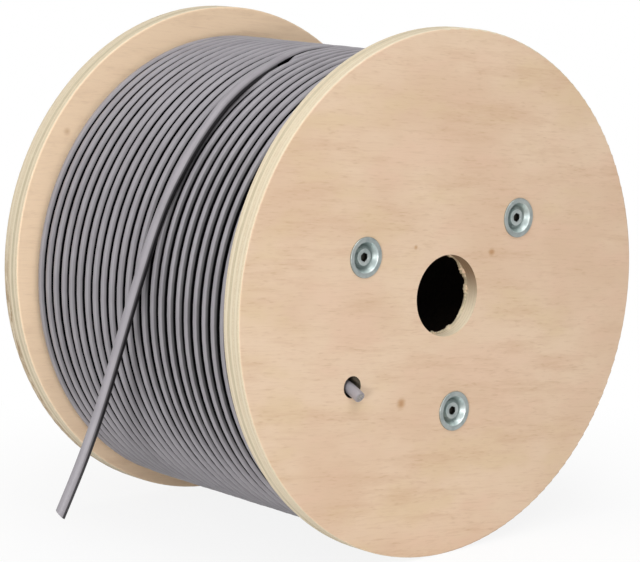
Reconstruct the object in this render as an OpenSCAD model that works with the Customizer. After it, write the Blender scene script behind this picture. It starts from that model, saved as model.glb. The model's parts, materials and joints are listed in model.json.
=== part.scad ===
// Wooden cable drum: two plywood flanges tied over a core tube by three long bolts,
// wound full of sheathed cable. The drum lies on its rims with its axle along Y,
// the origin is the middle of the axle, and the front flange faces -Y.

/* [Flanges] */
// Diameter of each plywood flange
flange_d = 400; // [390:5:600]
// Thickness of each plywood flange
flange_t = 18; // [14:0.5:30]
// Overall width of the drum, from outer face to outer face
drum_w = 294; // [200:2:500]
// Diameter of the spindle hole through both flanges
spindle_d = 62; // [40:1:90]
// Radius that eases the edges of the rims
rim_round = 1.5; // [0.5:0.25:4]

/* [Core tube] */
// Outer diameter of the tube that the cable is wound on
core_d = 200; // [170:2:260]
// Wall of the core tube
core_wall = 5; // [3:0.5:6]
// Depth of the ring groove in each flange that seats the core tube
core_seat = 4; // [2:0.5:6]

/* [Cable] */
// Diameter of the sheathed cable
cable_d = 8.5; // [5:0.25:11]
// Diameter over the outermost layer of the winding
winding_d = 369; // [290:1:374]
// How far the loose winding hangs lower than the axle
winding_sag = 7; // [0:0.5:8]
// Least distance from turn to turn along the axle
turn_spacing = 10; // [9:0.25:16]
// How far the inner end of the cable stands out of the front flange
start_reach = 8; // [4:1:30]
// Play of the cable in the hole where its inner end comes out
start_play = 8; // [4:0.5:14]
// Direction of that hole from the axle, turning from +X up to +Z
start_angle = 211; // [0:1:359]

/* [Tie bolts] */
// Number of tie bolts
bolt_count = 3; // [3:1:6]
// Direction of the first tie bolt from the axle, turning from +X up to +Z
bolt_angle = 35; // [0:1:119]
// Diameter of the bolt shank
bolt_d = 8; // [6:0.5:10]
// Diameter of the bolt head
head_d = 13; // [10:0.5:15]
// Height of the bolt head
head_h = 4.5; // [4:0.5:9]
// How far the bolt head lies below the rim of its washer
head_sink = 2.5; // [0:0.25:4]
// Width across the flats of the socket in the bolt head
socket_w = 6; // [4:0.5:7]
// Depth of the socket in the bolt head
socket_h = 2.5; // [1.5:0.25:3.5]
// Width across the flats of the nut
nut_w = 13; // [10:0.5:14]
// Height of the nut
nut_h = 5; // [4:0.5:8]
// How far the bolt stands out of its nut
bolt_proud = 1; // [0:0.25:1.5]

/* [Dished washers] */
// Sheet thickness of the washers
washer_t = 1.2; // [0.8:0.1:2]
// Width of the flat rim that lies on the wood
washer_rim = 2.25; // [1:0.25:6]
// Extra radius of the dish at its mouth over its floor
dish_flare = 3.5; // [2:0.25:6]

/* [Hidden] */
// Number of segments of a full circle
$fn = 96;
// Length by which cuts overrun the faces they leave
overrun = 1;
// Sides of the hexagons of nuts and sockets
hex_sides = 6;
// Gap between the core tube and the walls of its grooves
core_gap = 0.2;
// Gap between the winding and the core tube
bore_gap = 0.3;
// Gap between the winding and each flange
side_gap = 0.4;
// Gap between the core tube and the bolt shanks
shank_gap = 1;
// Gap of the bolt shank in its holes through the wood
hole_gap = 0.5;
// Gap of the bolt shank in its washers and its nut
fit_gap = 0.1;
// Gap between a washer's dish and the wood round it
dish_gap = 0.1;
// Gap between the nut's corners and the wall of the dish
nut_gap = 0.6;
// Chamfer of the bolt head
head_chamfer = 0.8;
// Depth and width of the wood that broke away at the inner edge of each spindle hole
chip_depth = 5;
chip_width = 4;
// Wood between the groove of the core tube and the hole for the inner cable end
start_wood = 1.5;
// Share of its play over which the inner cable end leans in its hole
lean_share = 0.8;
// Gap between the winding and the cable that lies over it
lay_gap = 0.6;

traverse = drum_w - 2 * flange_t;
half_traverse = traverse / 2;
half_w = drum_w / 2;
core_r = core_d / 2;
core_inner_r = core_r - core_wall;
core_len = traverse + 2 * (core_seat - core_gap);
bolt_circle_r = core_inner_r - shank_gap - bolt_d / 2;

// Turns of the outermost layer and the crest of the layer under it
winding_w = traverse - 2 * side_gap;
turn_count = floor((winding_w - cable_d) / turn_spacing) + 1;
turn_pitch = (winding_w - cable_d) / (turn_count - 1);
turn_r = winding_d / 2 - cable_d / 2;
nest_h = turn_pitch < 2 * cable_d ? sqrt(pow(cable_d, 2) - pow(turn_pitch / 2, 2)) : 0;
under_r = turn_r - nest_h + cable_d / 2;
winding_inner_r = core_r + bore_gap;

// Hole for the inner cable end and the lean of the cable in it
start_hole_d = cable_d + start_play;
start_r = core_r + core_gap + start_wood + start_hole_d / 2;
start_lean = atan(lean_share * start_play / flange_t);

// Dish of the washers, seen from the plane of the wood
nut_corner_r = nut_w / 2 / cos(180 / hex_sides);
dish_floor_r = max(nut_corner_r, head_d / 2) + nut_gap;
dish_mouth_r = dish_floor_r + dish_flare;
dish_drop = head_h + head_sink;
dish_wall = washer_t * sqrt(1 + pow(dish_flare / dish_drop, 2));
washer_r = dish_mouth_r + dish_wall + washer_rim;
dish_floor_z = washer_t - dish_drop;
bolt_end_z = dish_floor_z + nut_h + bolt_proud;

// Free outer end of the cable. The first list lies over the winding: direction from the winding's middle,
// and place along Y. The second list hangs free: way past the last place of the first, and place along Y.
tail_lay = [[128, -27.6], [133, -28.6], [138, -29], [143, -28.9], [148, -28.2], [158, -24.8]];
tail_hang = [[20, -23.2], [60, -22.6], [105, -23.2], [150, -23.4], [190, -20.4], [231, -14.2]];
tail_sides = 10;
tail_steps = 3;
tail_r = winding_d / 2 + cable_d / 2 + lay_gap;

// Smooth curve through the points of a list
function list_at(points, i) = points[min(max(i, 0), len(points) - 1)];
function blend(a, b, c, d, t) =
    0.5 * (2 * b + (c - a) * t + (2 * a - 5 * b + 4 * c - d) * t * t + (3 * b - a - 3 * c + d) * t * t * t);
function smooth(points, steps) = concat(
    [for (i = [0 : len(points) - 2], k = [0 : steps - 1])
        blend(list_at(points, i - 1), points[i], points[i + 1], list_at(points, i + 2), k / steps)],
    [points[len(points) - 1]]
);

// Route of the free cable end: round the winding first, then straight on from its last place there
function last(points) = points[len(points) - 1];
function lay_point(p) = [tail_r * cos(p[0]), p[1], tail_r * sin(p[0]) - winding_sag];
function hang_point(p, from) =
    lay_point([from, p[1]]) + p[0] * [-sin(from), 0, cos(from)];
function tail_route(lay, hang, steps) = concat(
    [for (p = smooth(lay, steps)) lay_point(p)],
    [for (p = smooth(concat([[0, last(lay)[1]]], hang), steps)) if (p[0] > 0) hang_point(p, last(lay)[0])]
);
function unit(v) = v / norm(v);
function route_dir(points, i) = unit(list_at(points, i + 1) - list_at(points, i - 1));

// Tube of one radius swept along a route, with its rings square to the route
module route_tube(points, r, sides) {
    rings = [for (i = [0 : len(points) - 1])
        let (ahead = route_dir(points, i), side = unit(cross([0, 1, 0], ahead)), up = cross(ahead, side))
        for (k = [0 : sides - 1]) points[i] + r * (cos(360 * k / sides) * side + sin(360 * k / sides) * up)];
    walls = [for (i = [0 : len(points) - 2], k = [0 : sides - 1])
        let (next = (k + 1) % sides)
        each [
            [i * sides + k, (i + 1) * sides + next, i * sides + next],
            [i * sides + k, (i + 1) * sides + k, (i + 1) * sides + next]
        ]];
    first_cap = [for (k = [0 : sides - 1]) k];
    last_cap = [for (k = [sides - 1 : -1 : 0]) (len(points) - 1) * sides + k];
    polyhedron(points = rings, faces = concat([first_cap], walls, [last_cap]));
}

// Turns the axle from Z to Y, with the front of the drum at -Y
module on_axle() {
    rotate([90, 0, 0]) children();
}

// Places a child at one tie bolt, counted from zero
module at_bolt(i) {
    rotate([0, 0, bolt_angle + 360 * i / bolt_count]) translate([bolt_circle_r, 0, 0]) children();
}

// Plywood disc from its inner face at zero, with its rim eased
module flange_board() {
    difference() {
        rotate_extrude() union() {
            square([flange_d / 2 - rim_round, flange_t]);
            translate([0, rim_round]) square([flange_d / 2, flange_t - 2 * rim_round]);
            for (z = [rim_round, flange_t - rim_round])
                translate([flange_d / 2 - rim_round, z]) circle(r = rim_round);
        }
        translate([0, 0, -overrun]) cylinder(d = spindle_d, h = flange_t + 2 * overrun);
        translate([0, 0, -overrun]) cylinder(
            r1 = spindle_d / 2 + chip_width * (1 + overrun / chip_depth),
            r2 = spindle_d / 2,
            h = chip_depth + overrun
        );
        difference() {
            translate([0, 0, -overrun]) cylinder(r = core_r + core_gap, h = core_seat + overrun);
            translate([0, 0, -2 * overrun]) cylinder(r = core_inner_r - core_gap, h = core_seat + 3 * overrun);
        }
        for (i = [0 : bolt_count - 1]) at_bolt(i) bolt_cut();
    }
}

// Hole for one tie bolt and the seat of its dished washer
module bolt_cut() {
    translate([0, 0, -overrun]) cylinder(d = bolt_d + 2 * hole_gap, h = flange_t + 2 * overrun);
    seat_depth = dish_drop + dish_gap;
    translate([0, 0, flange_t - seat_depth])
        cylinder(
            r1 = dish_floor_r + dish_wall + dish_gap,
            r2 = dish_mouth_r + dish_wall + dish_gap + dish_flare * overrun / seat_depth,
            h = seat_depth + overrun
        );
}

module front_flange() {
    color("burlywood") on_axle() difference() {
        translate([0, 0, half_traverse]) flange_board();
        rotate([0, 0, start_angle]) translate([start_r, 0, half_traverse - overrun])
            cylinder(d = start_hole_d, h = flange_t + 2 * overrun);
    }
}

module rear_flange() {
    color("tan") on_axle() mirror([0, 0, 1]) translate([0, 0, half_traverse]) flange_board();
}

module core_tube() {
    color("peru") on_axle() difference() {
        translate([0, 0, -core_len / 2]) cylinder(r = core_r, h = core_len);
        translate([0, 0, -core_len / 2 - overrun]) cylinder(r = core_inner_r, h = core_len + 2 * overrun);
    }
}

// Wound cable as one turned solid: round turns outside, on the crest of the layer under them,
// hanging a little low on the core tube
module cable_winding() {
    color("darkgray") on_axle() difference() {
        translate([0, -winding_sag, 0]) rotate_extrude() union() {
            translate([0, -winding_w / 2]) square([under_r, winding_w]);
            for (i = [0 : turn_count - 1])
                translate([turn_r, (cable_d - winding_w) / 2 + i * turn_pitch]) circle(d = cable_d);
        }
        translate([0, 0, -winding_w / 2 - overrun])
            cylinder(r = winding_inner_r, h = winding_w + 2 * overrun);
    }
}

// Inner end of the cable, leaning down through its hole from the wound side
module cable_start() {
    lean_reach = (start_reach + flange_t) / cos(start_lean);
    color("darkgray") intersection() {
        on_axle() rotate([0, 0, start_angle]) translate([start_r, 0, half_traverse + flange_t / 2])
            rotate([0, 0, -start_angle]) rotate([start_lean, 0, 0])
                translate([0, 0, -flange_t]) cylinder(d = cable_d, h = flange_t / 2 + lean_reach);
        translate([-flange_d, -half_traverse - flange_d, -flange_d])
            cube([2 * flange_d, flange_d, 2 * flange_d]);
    }
}

module cable_tail() {
    color("darkgray") route_tube(tail_route(tail_lay, tail_hang, tail_steps), cable_d / 2, tail_sides);
}

// Socket head bolt through the whole drum, its head in the front washer and its end in the rear nut
module tie_bolt(i) {
    head_z = half_w + dish_floor_z;
    color("silver") on_axle() at_bolt(i) difference() {
        union() {
            translate([0, 0, -half_w - bolt_end_z]) cylinder(d = bolt_d, h = head_z + half_w + bolt_end_z);
            translate([0, 0, head_z]) cylinder(d = head_d, h = head_h - head_chamfer);
            translate([0, 0, head_z + head_h - head_chamfer])
                cylinder(d1 = head_d, d2 = head_d - 2 * head_chamfer, h = head_chamfer);
        }
        translate([0, 0, head_z + head_h - socket_h])
            cylinder(d = socket_w / cos(180 / hex_sides), h = socket_h + overrun, $fn = hex_sides);
    }
}

// Pressed washer: a flat rim on the wood and a dish that sinks into it, from the wood's face at zero
module dished_washer() {
    color("lightsteelblue") rotate_extrude() polygon([
        [washer_r, 0],
        [washer_r, washer_t],
        [dish_mouth_r, washer_t],
        [dish_floor_r, dish_floor_z],
        [bolt_d / 2 + fit_gap, dish_floor_z],
        [bolt_d / 2 + fit_gap, dish_floor_z - washer_t],
        [dish_floor_r + dish_wall, dish_floor_z - washer_t],
        [dish_mouth_r + dish_wall, 0]
    ]);
}

module front_washer(i) {
    on_axle() at_bolt(i) translate([0, 0, half_w]) dished_washer();
}

module rear_washer(i) {
    on_axle() at_bolt(i) translate([0, 0, -half_w]) mirror([0, 0, 1]) dished_washer();
}

module rear_nut(i) {
    color("silver") on_axle() at_bolt(i) translate([0, 0, -half_w - dish_floor_z - nut_h]) difference() {
        cylinder(r = nut_corner_r, h = nut_h, $fn = hex_sides);
        translate([0, 0, -overrun]) cylinder(d = bolt_d + 2 * fit_gap, h = nut_h + 2 * overrun);
    }
}

front_flange();
rear_flange();
core_tube();
cable_winding();
cable_start();
cable_tail();
for (i = [0 : bolt_count - 1]) {
    tie_bolt(i);
    front_washer(i);
    rear_washer(i);
    rear_nut(i);
}
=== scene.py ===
"""Looks of a wooden cable drum: plywood flanges, a full winding of grey cable, its free end and bolts."""
import json
import logging
import math
from collections.abc import Sequence
from dataclasses import dataclass
from enum import Enum

import bpy
import numpy as np
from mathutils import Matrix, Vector


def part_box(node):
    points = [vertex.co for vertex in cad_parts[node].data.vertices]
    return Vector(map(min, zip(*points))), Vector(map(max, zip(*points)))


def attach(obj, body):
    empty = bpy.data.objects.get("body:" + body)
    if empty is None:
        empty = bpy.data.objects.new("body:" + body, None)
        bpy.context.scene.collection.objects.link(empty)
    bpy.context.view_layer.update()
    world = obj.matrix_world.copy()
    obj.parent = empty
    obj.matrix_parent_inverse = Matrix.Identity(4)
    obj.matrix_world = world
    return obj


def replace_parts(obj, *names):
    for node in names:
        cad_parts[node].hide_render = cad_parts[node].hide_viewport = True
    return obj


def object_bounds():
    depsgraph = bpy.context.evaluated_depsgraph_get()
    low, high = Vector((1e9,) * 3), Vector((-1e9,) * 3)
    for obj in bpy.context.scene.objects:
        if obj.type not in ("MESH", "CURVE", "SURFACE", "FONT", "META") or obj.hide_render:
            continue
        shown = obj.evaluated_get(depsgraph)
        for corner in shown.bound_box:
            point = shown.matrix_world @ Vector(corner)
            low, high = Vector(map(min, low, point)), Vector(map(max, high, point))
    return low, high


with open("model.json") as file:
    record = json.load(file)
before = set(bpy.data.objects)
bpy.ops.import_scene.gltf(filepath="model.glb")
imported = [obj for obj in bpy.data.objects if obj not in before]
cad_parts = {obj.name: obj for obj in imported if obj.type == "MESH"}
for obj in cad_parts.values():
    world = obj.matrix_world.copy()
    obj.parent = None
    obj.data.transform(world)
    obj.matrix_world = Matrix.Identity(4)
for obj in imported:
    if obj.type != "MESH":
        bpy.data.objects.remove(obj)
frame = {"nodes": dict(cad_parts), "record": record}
CAD_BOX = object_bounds()

logging.basicConfig(level=logging.INFO, format="%(message)s")
log = logging.getLogger("cable_drum")

MM = 0.001
TURN = 2.0 * math.pi
BODY = "root"

Band = tuple[float, float]
Colour = tuple[float, float, float, float]
Socket = bpy.types.NodeSocket
Feed = Socket | float | Sequence[float]


class Side(Enum):
    """The two ends of the drum, with the way along Y that faces out of each."""

    FRONT = -1.0
    REAR = 1.0


class Slot(Enum):
    """The record's material slots. Nothing in the script uses them."""

    PLYWOOD = "plywood"
    SHEATH = "cable_sheath"
    ZINC = "zinc_steel"


class Nest(Enum):
    """How the cable lies between other turns, which sets how much of its sheath is painted with shade.
    Where the number is lower, it lies freer.
    """

    BESIDE = 1.0
    # Lies under the outer layer: the sheath is painted dark all over, as shade.
    UNDER = 2.0


def srgb(red: int, green: int, blue: int) -> Colour:
    """Turns a colour as the eye reads it into the linear colour of a shader.

    Args:
        red: Red from 0 to 255.
        green: Green from 0 to 255.
        blue: Blue from 0 to 255.

    Returns:
        The linear colour with full alpha.
    """
    parts = [value / 255.0 for value in (red, green, blue)]
    linear = [p / 12.92 if p <= 0.04045 else ((p + 0.055) / 1.055) ** 2.4 for p in parts]
    return linear[0], linear[1], linear[2], 1.0


@dataclass(frozen=True)
class Grain:
    """One layer of noise in a finish.

    Attributes:
        waves: Waves to a metre, alike all ways or along each axis.
        detail: Number of finer layers.
        rough: Strength of the finer layers.
    """

    waves: float | tuple[float, float, float]
    detail: float
    rough: float


@dataclass(frozen=True)
class Ramp:
    """A smooth change from one value to another.

    Attributes:
        band: Where it starts and ends.
        ends: Values at its start and at its end.
    """

    band: Band
    ends: Band = (0.0, 1.0)


@dataclass(frozen=True)
class Tint:
    """A colour that comes in over another one.

    Attributes:
        colour: The colour.
        band: Where it starts to come in, and where it is strongest.
        share: How strong it is there.
    """

    colour: Colour
    band: Band
    share: float = 1.0


class Graph:
    """Makes the nodes of one material or world with short calls."""

    def __init__(self, owner: bpy.types.Material | bpy.types.World) -> None:
        """Starts without nodes.

        Args:
            owner: The new material or world.
        """
        self.owner = owner
        self.owner.use_nodes = True
        self.tree = self.owner.node_tree
        self.tree.nodes.clear()

    def node(self, kind: str, **settings: object) -> bpy.types.Node:
        """Adds one node.

        Args:
            kind: Blender's name of the node.
            **settings: Properties set on it.

        Returns:
            The node.
        """
        made = self.tree.nodes.new(kind)
        for key, value in settings.items():
            setattr(made, key, value)
        return made

    def feed(self, socket: Socket, value: Feed) -> None:
        """Links a socket, or sets its plain value.

        Args:
            socket: The input that takes the value.
            value: Another node's output, a number or a colour.
        """
        if isinstance(value, Socket):
            self.tree.links.new(value, socket)
        else:
            socket.default_value = value

    def math(self, operation: str, a: Feed, b: Feed = 0.0, clamp: bool = False) -> Socket:
        """Adds a sum of one or two values.

        Args:
            operation: Blender's name of the operation.
            a: First value.
            b: Second value.
            clamp: Whether the result stays from 0 to 1.

        Returns:
            The result.
        """
        made = self.node("ShaderNodeMath", operation=operation, use_clamp=clamp)
        self.feed(made.inputs[0], a)
        self.feed(made.inputs[1], b)
        return made.outputs[0]

    def times(self, *factors: Feed) -> Socket:
        """Multiplies values.

        Args:
            *factors: The values.

        Returns:
            Their product.
        """
        total = factors[0]
        for factor in factors[1:]:
            total = self.math("MULTIPLY", total, factor)
        return total

    def ease(
        self, value: Feed, low: float, high: float, start: float = 0.0, end: float = 1.0
    ) -> Socket:
        """Maps a range of values smoothly onto another.

        Args:
            value: The value to map.
            low: Where the range starts.
            high: Where the range ends.
            start: Result at the start.
            end: Result at the end.

        Returns:
            The mapped value.
        """
        made = self.node("ShaderNodeMapRange", interpolation_type="SMOOTHSTEP", clamp=True)
        for index, part in enumerate((value, low, high, start, end)):
            self.feed(made.inputs[index], part)
        return made.outputs[0]

    def ramp(self, value: Feed, ramp: Ramp) -> Socket:
        """Maps a value by a ramp."""
        return self.ease(value, *ramp.band, *ramp.ends)

    def tint(self, value: Feed, under: Feed, tint: Tint) -> Socket:
        """Lays a tint over a colour, by a value."""
        return self.mix(self.ease(value, *tint.band, 0.0, tint.share), under, tint.colour)

    def mix(self, share: Feed, a: Feed, b: Feed) -> Socket:
        """Mixes two colours.

        Args:
            share: Share of the second colour.
            a: First colour.
            b: Second colour.

        Returns:
            The mixed colour.
        """
        made = self.node("ShaderNodeMix", data_type="RGBA", clamp_result=True)
        # This node has inputs 6 and 7 and output 2 for colours.
        self.feed(made.inputs[0], share)
        self.feed(made.inputs[6], a)
        self.feed(made.inputs[7], b)
        return made.outputs[2]

    def scaled(
        self, vector: Socket, scale: Sequence[float], turn: Sequence[float] = (0.0, 0.0, 0.0)
    ) -> Socket:
        """Turns a place about the origin and then stretches it.

        Args:
            vector: The place.
            scale: Stretch along each axis.
            turn: Turn about each axis, in radians.

        Returns:
            The new place.
        """
        turned = self.node("ShaderNodeMapping")
        self.feed(turned.inputs["Vector"], vector)
        self.feed(turned.inputs["Rotation"], turn)
        stretched = self.node("ShaderNodeMapping")
        self.feed(stretched.inputs["Vector"], turned.outputs[0])
        self.feed(stretched.inputs["Scale"], scale)
        return stretched.outputs[0]

    def noise(self, vector: Socket, grain: Grain, turn: Sequence[float] = (0.0, 0.0, 0.0)) -> Socket:
        """Adds smooth noise from about 0 to 1.

        Args:
            vector: The place.
            grain: Waves of the noise.
            turn: Turn about each axis, in radians, of waves that differ from axis to axis.

        Returns:
            The noise.
        """
        made = self.node("ShaderNodeTexNoise")
        if isinstance(grain.waves, tuple):
            self.feed(made.inputs["Vector"], self.scaled(vector, grain.waves, turn))
            self.feed(made.inputs["Scale"], 1.0)
        else:
            self.feed(made.inputs["Vector"], vector)
            self.feed(made.inputs["Scale"], grain.waves)
        self.feed(made.inputs["Detail"], grain.detail)
        self.feed(made.inputs["Roughness"], grain.rough)
        return made.outputs["Fac"]

    def place(self) -> Socket:
        """Gives the place in the drum's own frame."""
        return self.node("ShaderNodeTexCoord").outputs["Object"]

    def normal(self) -> Socket:
        """Gives the normal of the surface."""
        return self.node("ShaderNodeNewGeometry").outputs["Normal"]

    def length(self, vector: Socket) -> Socket:
        """Gives the length of a vector.

        Args:
            vector: The vector.

        Returns:
            Its length.
        """
        made = self.node("ShaderNodeVectorMath", operation="LENGTH")
        self.feed(made.inputs[0], vector)
        return made.outputs["Value"]

    def seen(self) -> Socket:
        """Tells rays that are seen, straight or in metal and glass, from those that only carry light.

        Returns:
            1 where the ray is seen, otherwise 0.
        """
        ray = self.node("ShaderNodeLightPath")
        total = ray.outputs["Is Camera Ray"]
        for name in ("Is Glossy Ray", "Is Transmission Ray"):
            total = self.math("ADD", total, ray.outputs[name], clamp=True)
        return total

    def split(self, vector: Socket) -> tuple[Socket, Socket, Socket]:
        """Splits a vector.

        Args:
            vector: The vector.

        Returns:
            Its three parts.
        """
        parts = self.node("ShaderNodeSeparateXYZ")
        self.feed(parts.inputs[0], vector)
        return parts.outputs[0], parts.outputs[1], parts.outputs[2]

    def bump(self, height: Socket, depth: float) -> Socket:
        """Turns a height from 0 to 1 into a relief of a real depth.

        Args:
            height: The height.
            depth: Depth in metres.

        Returns:
            The bent normal.
        """
        made = self.node("ShaderNodeBump")
        self.feed(made.inputs["Strength"], 1.0)
        self.feed(made.inputs["Distance"], depth)
        self.feed(made.inputs["Height"], height)
        return made.outputs[0]

    def surface(self, **sockets: Feed) -> bpy.types.Material:
        """Ends the material in a principled shader.

        Args:
            **sockets: Values by socket name, with underscores for spaces.

        Returns:
            The material.
        """
        shader = self.node("ShaderNodeBsdfPrincipled")
        for key, value in sockets.items():
            self.feed(shader.inputs[key.replace("_", " ")], value)
        output = self.node("ShaderNodeOutputMaterial")
        self.feed(output.inputs[0], shader.outputs[0])
        return self.owner


@dataclass(frozen=True)
class SheathFinish:
    """Matt grey sheath of the cable, with faint drawn lines along it, painted shade on the flanks of its
    turns, and near black painted shade in the gaps between them.

    Attributes:
        name: Name of the material.
        tone: Its main colour.
        shade: Its faint clouds.
        scuff: Its rubbed lines.
        gap: Colour of the painted shade down in the gap between two turns and on their flanks.
        lines: Noise of the drawn lines.
        clouds: Noise of the clouds.
        grit: Noise of its fine grit.
        gap_edge: How the gap's painted shade ends, by the height over the cable's middle.
        flank_edge: How the painted shade of a turn's flank ends, by that height.
        flank_y: How strong the flank's painted shade is, by the place along Y.
        flank_top: How the shade of the flanks fades to the top.
        flank_low: How the shade of the flanks fades to the bottom.
        free_lift: How far the painted shade of the gap and the flank drops on a cable that lies free.
        free_nest: How the gap's painted shade comes in from a free cable to one in the winding.
        free_flank: How strong the painted shade is on the flank towards the front flange, on a cable that
            lies free.
        rough: Its roughness, by the grit.
        gloss: How strongly it mirrors, outside the gaps.
        line_share: Share of the relief that the drawn lines take. The grit takes the rest.
        relief: Depth of the relief.
    """

    name: str = "grey_sheath"
    tone: Colour = srgb(152, 148, 153)
    shade: Tint = Tint(srgb(141, 137, 142), (0.35, 0.7))
    scuff: Tint = Tint(srgb(168, 165, 168), (0.62, 0.8), 0.4)
    gap: Colour = srgb(8, 8, 9)
    lines: Grain = Grain((520.0, 520.0, 22.0), 3.0, 0.6)
    clouds: Grain = Grain(24.0, 2.0, 0.5)
    grit: Grain = Grain(1900.0, 2.0, 0.6)
    gap_edge: Ramp = Ramp((1.9 * MM, 2.9 * MM), (1.0, 0.0))
    flank_edge: Ramp = Ramp((3.2 * MM, 4.0 * MM), (1.0, 0.0))
    flank_y: Ramp = Ramp((-50 * MM, 20 * MM), (0.87, 0.42))
    flank_top: Ramp = Ramp((70 * MM, 150 * MM), (1.0, 0.4))
    flank_low: Ramp = Ramp((-70 * MM, -140 * MM), (1.0, 0.05))
    free_lift: float = 4.0 * MM
    free_nest: Ramp = Ramp((0.5, 0.58))
    free_flank: Ramp = Ramp((1.5 * MM, -1.5 * MM), (0.0, 0.8))
    rough: Ramp = Ramp((0.2, 0.8), (0.44, 0.58))
    gloss: float = 0.45
    line_share: float = 0.6
    relief: float = 0.05 * MM

    def material(self) -> bpy.types.Material:
        """Makes the material."""
        g = Graph(bpy.data.materials.new(self.name))
        along = g.node("ShaderNodeAttribute", attribute_name="sheath").outputs["Vector"]
        nest = g.node("ShaderNodeAttribute", attribute_name="nest").outputs["Fac"]
        lines = g.noise(along, self.lines)
        grit = g.noise(g.place(), self.grit)
        over, beside, _ = g.split(along)
        over = g.math("ADD", over, g.times(g.math("SUBTRACT", 1.0, nest), self.free_lift))
        strength = g.math("MAXIMUM", g.ramp(nest, self.free_nest), g.ramp(beside, self.free_flank))
        dark = g.times(g.ramp(over, self.gap_edge), strength)
        colour = g.tint(g.noise(along, self.clouds), self.tone, self.shade)
        colour = g.tint(lines, colour, self.scuff)
        # Painted shade: darker flanks on the turns, and near black down in the gaps between them.
        colour = g.mix(self.flank_at(g, over), colour, self.gap)
        colour = g.mix(dark, colour, self.gap)
        gloss = g.times(g.math("SUBTRACT", 1.0, dark), self.gloss)
        line_height = g.times(lines, self.line_share)
        height = g.math("ADD", line_height, g.times(grit, 1.0 - self.line_share))
        rough = g.ramp(grit, self.rough)
        normal = g.bump(height, self.relief)
        return g.surface(Base_Color=colour, Roughness=rough, Specular_IOR_Level=gloss, Normal=normal)

    def flank_at(self, g: Graph, over: Socket) -> Socket:
        """Gives the painted shade on the flank of a turn, which changes round the winding.

        Args:
            g: The material's nodes.
            over: Height over the cable's middle.

        Returns:
            The share of the dark.
        """
        _, y, z = g.split(g.place())
        shade = g.times(g.ramp(y, self.flank_y), g.ramp(z, self.flank_top), g.ramp(z, self.flank_low))
        return g.times(g.ramp(over, self.flank_edge), shade)


@dataclass(frozen=True)
class CutFinish:
    """Pale filling that shows where the cable is cut off.

    Attributes:
        name: Name of the material.
        pale: Its main colour.
        dark: Its tint between the strands.
        strands: Noise of the strands.
        roughness: Its roughness.
        relief: Depth of the strands.
    """

    name: str = "cut_cable"
    pale: Colour = srgb(176, 172, 168)
    dark: Tint = Tint(srgb(120, 116, 114), (0.35, 0.65))
    strands: Grain = Grain(1400.0, 3.0, 0.6)
    roughness: float = 0.7
    relief: float = 0.15 * MM

    def material(self) -> bpy.types.Material:
        """Makes the material."""
        g = Graph(bpy.data.materials.new(self.name))
        strands = g.noise(g.place(), self.strands)
        colour = g.tint(strands, self.pale, self.dark)
        return g.surface(Base_Color=colour, Roughness=self.roughness, Normal=g.bump(strands, self.relief))


@dataclass(frozen=True)
class Knot:
    """A small knot in a flange's face.

    Attributes:
        place: Its middle in the drum's frame.
        radius: Its radius.
        strength: How dark it is, from 0 to 1.
        fray: How far its edge is frayed, as a share of the radius.
        core_share: Share of the radius inside which it is darkest.
        edge_share: Share of the radius at which it ends.
    """

    place: tuple[float, float, float]
    radius: float
    strength: float
    fray: float = 0.7
    core_share: float = 0.35
    edge_share: float = 1.5

    def share_at(self, g: Graph, place: Socket, fibre: Socket) -> Socket:
        """Gives the share of the knot's colour at a place.

        Args:
            g: The material's nodes.
            place: Place in the drum's frame.
            fibre: Noise of the fibres, which frays the knot.

        Returns:
            The share.
        """
        apart = g.node("ShaderNodeVectorMath", operation="DISTANCE")
        g.feed(apart.inputs[0], place)
        g.feed(apart.inputs[1], self.place)
        frayed = g.times(fibre, self.radius * self.fray)
        frayed = g.math("ADD", apart.outputs["Value"], frayed)
        core_r = self.radius * self.core_share
        return g.ease(frayed, core_r, self.radius * self.edge_share, self.strength, 0.0)


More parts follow.
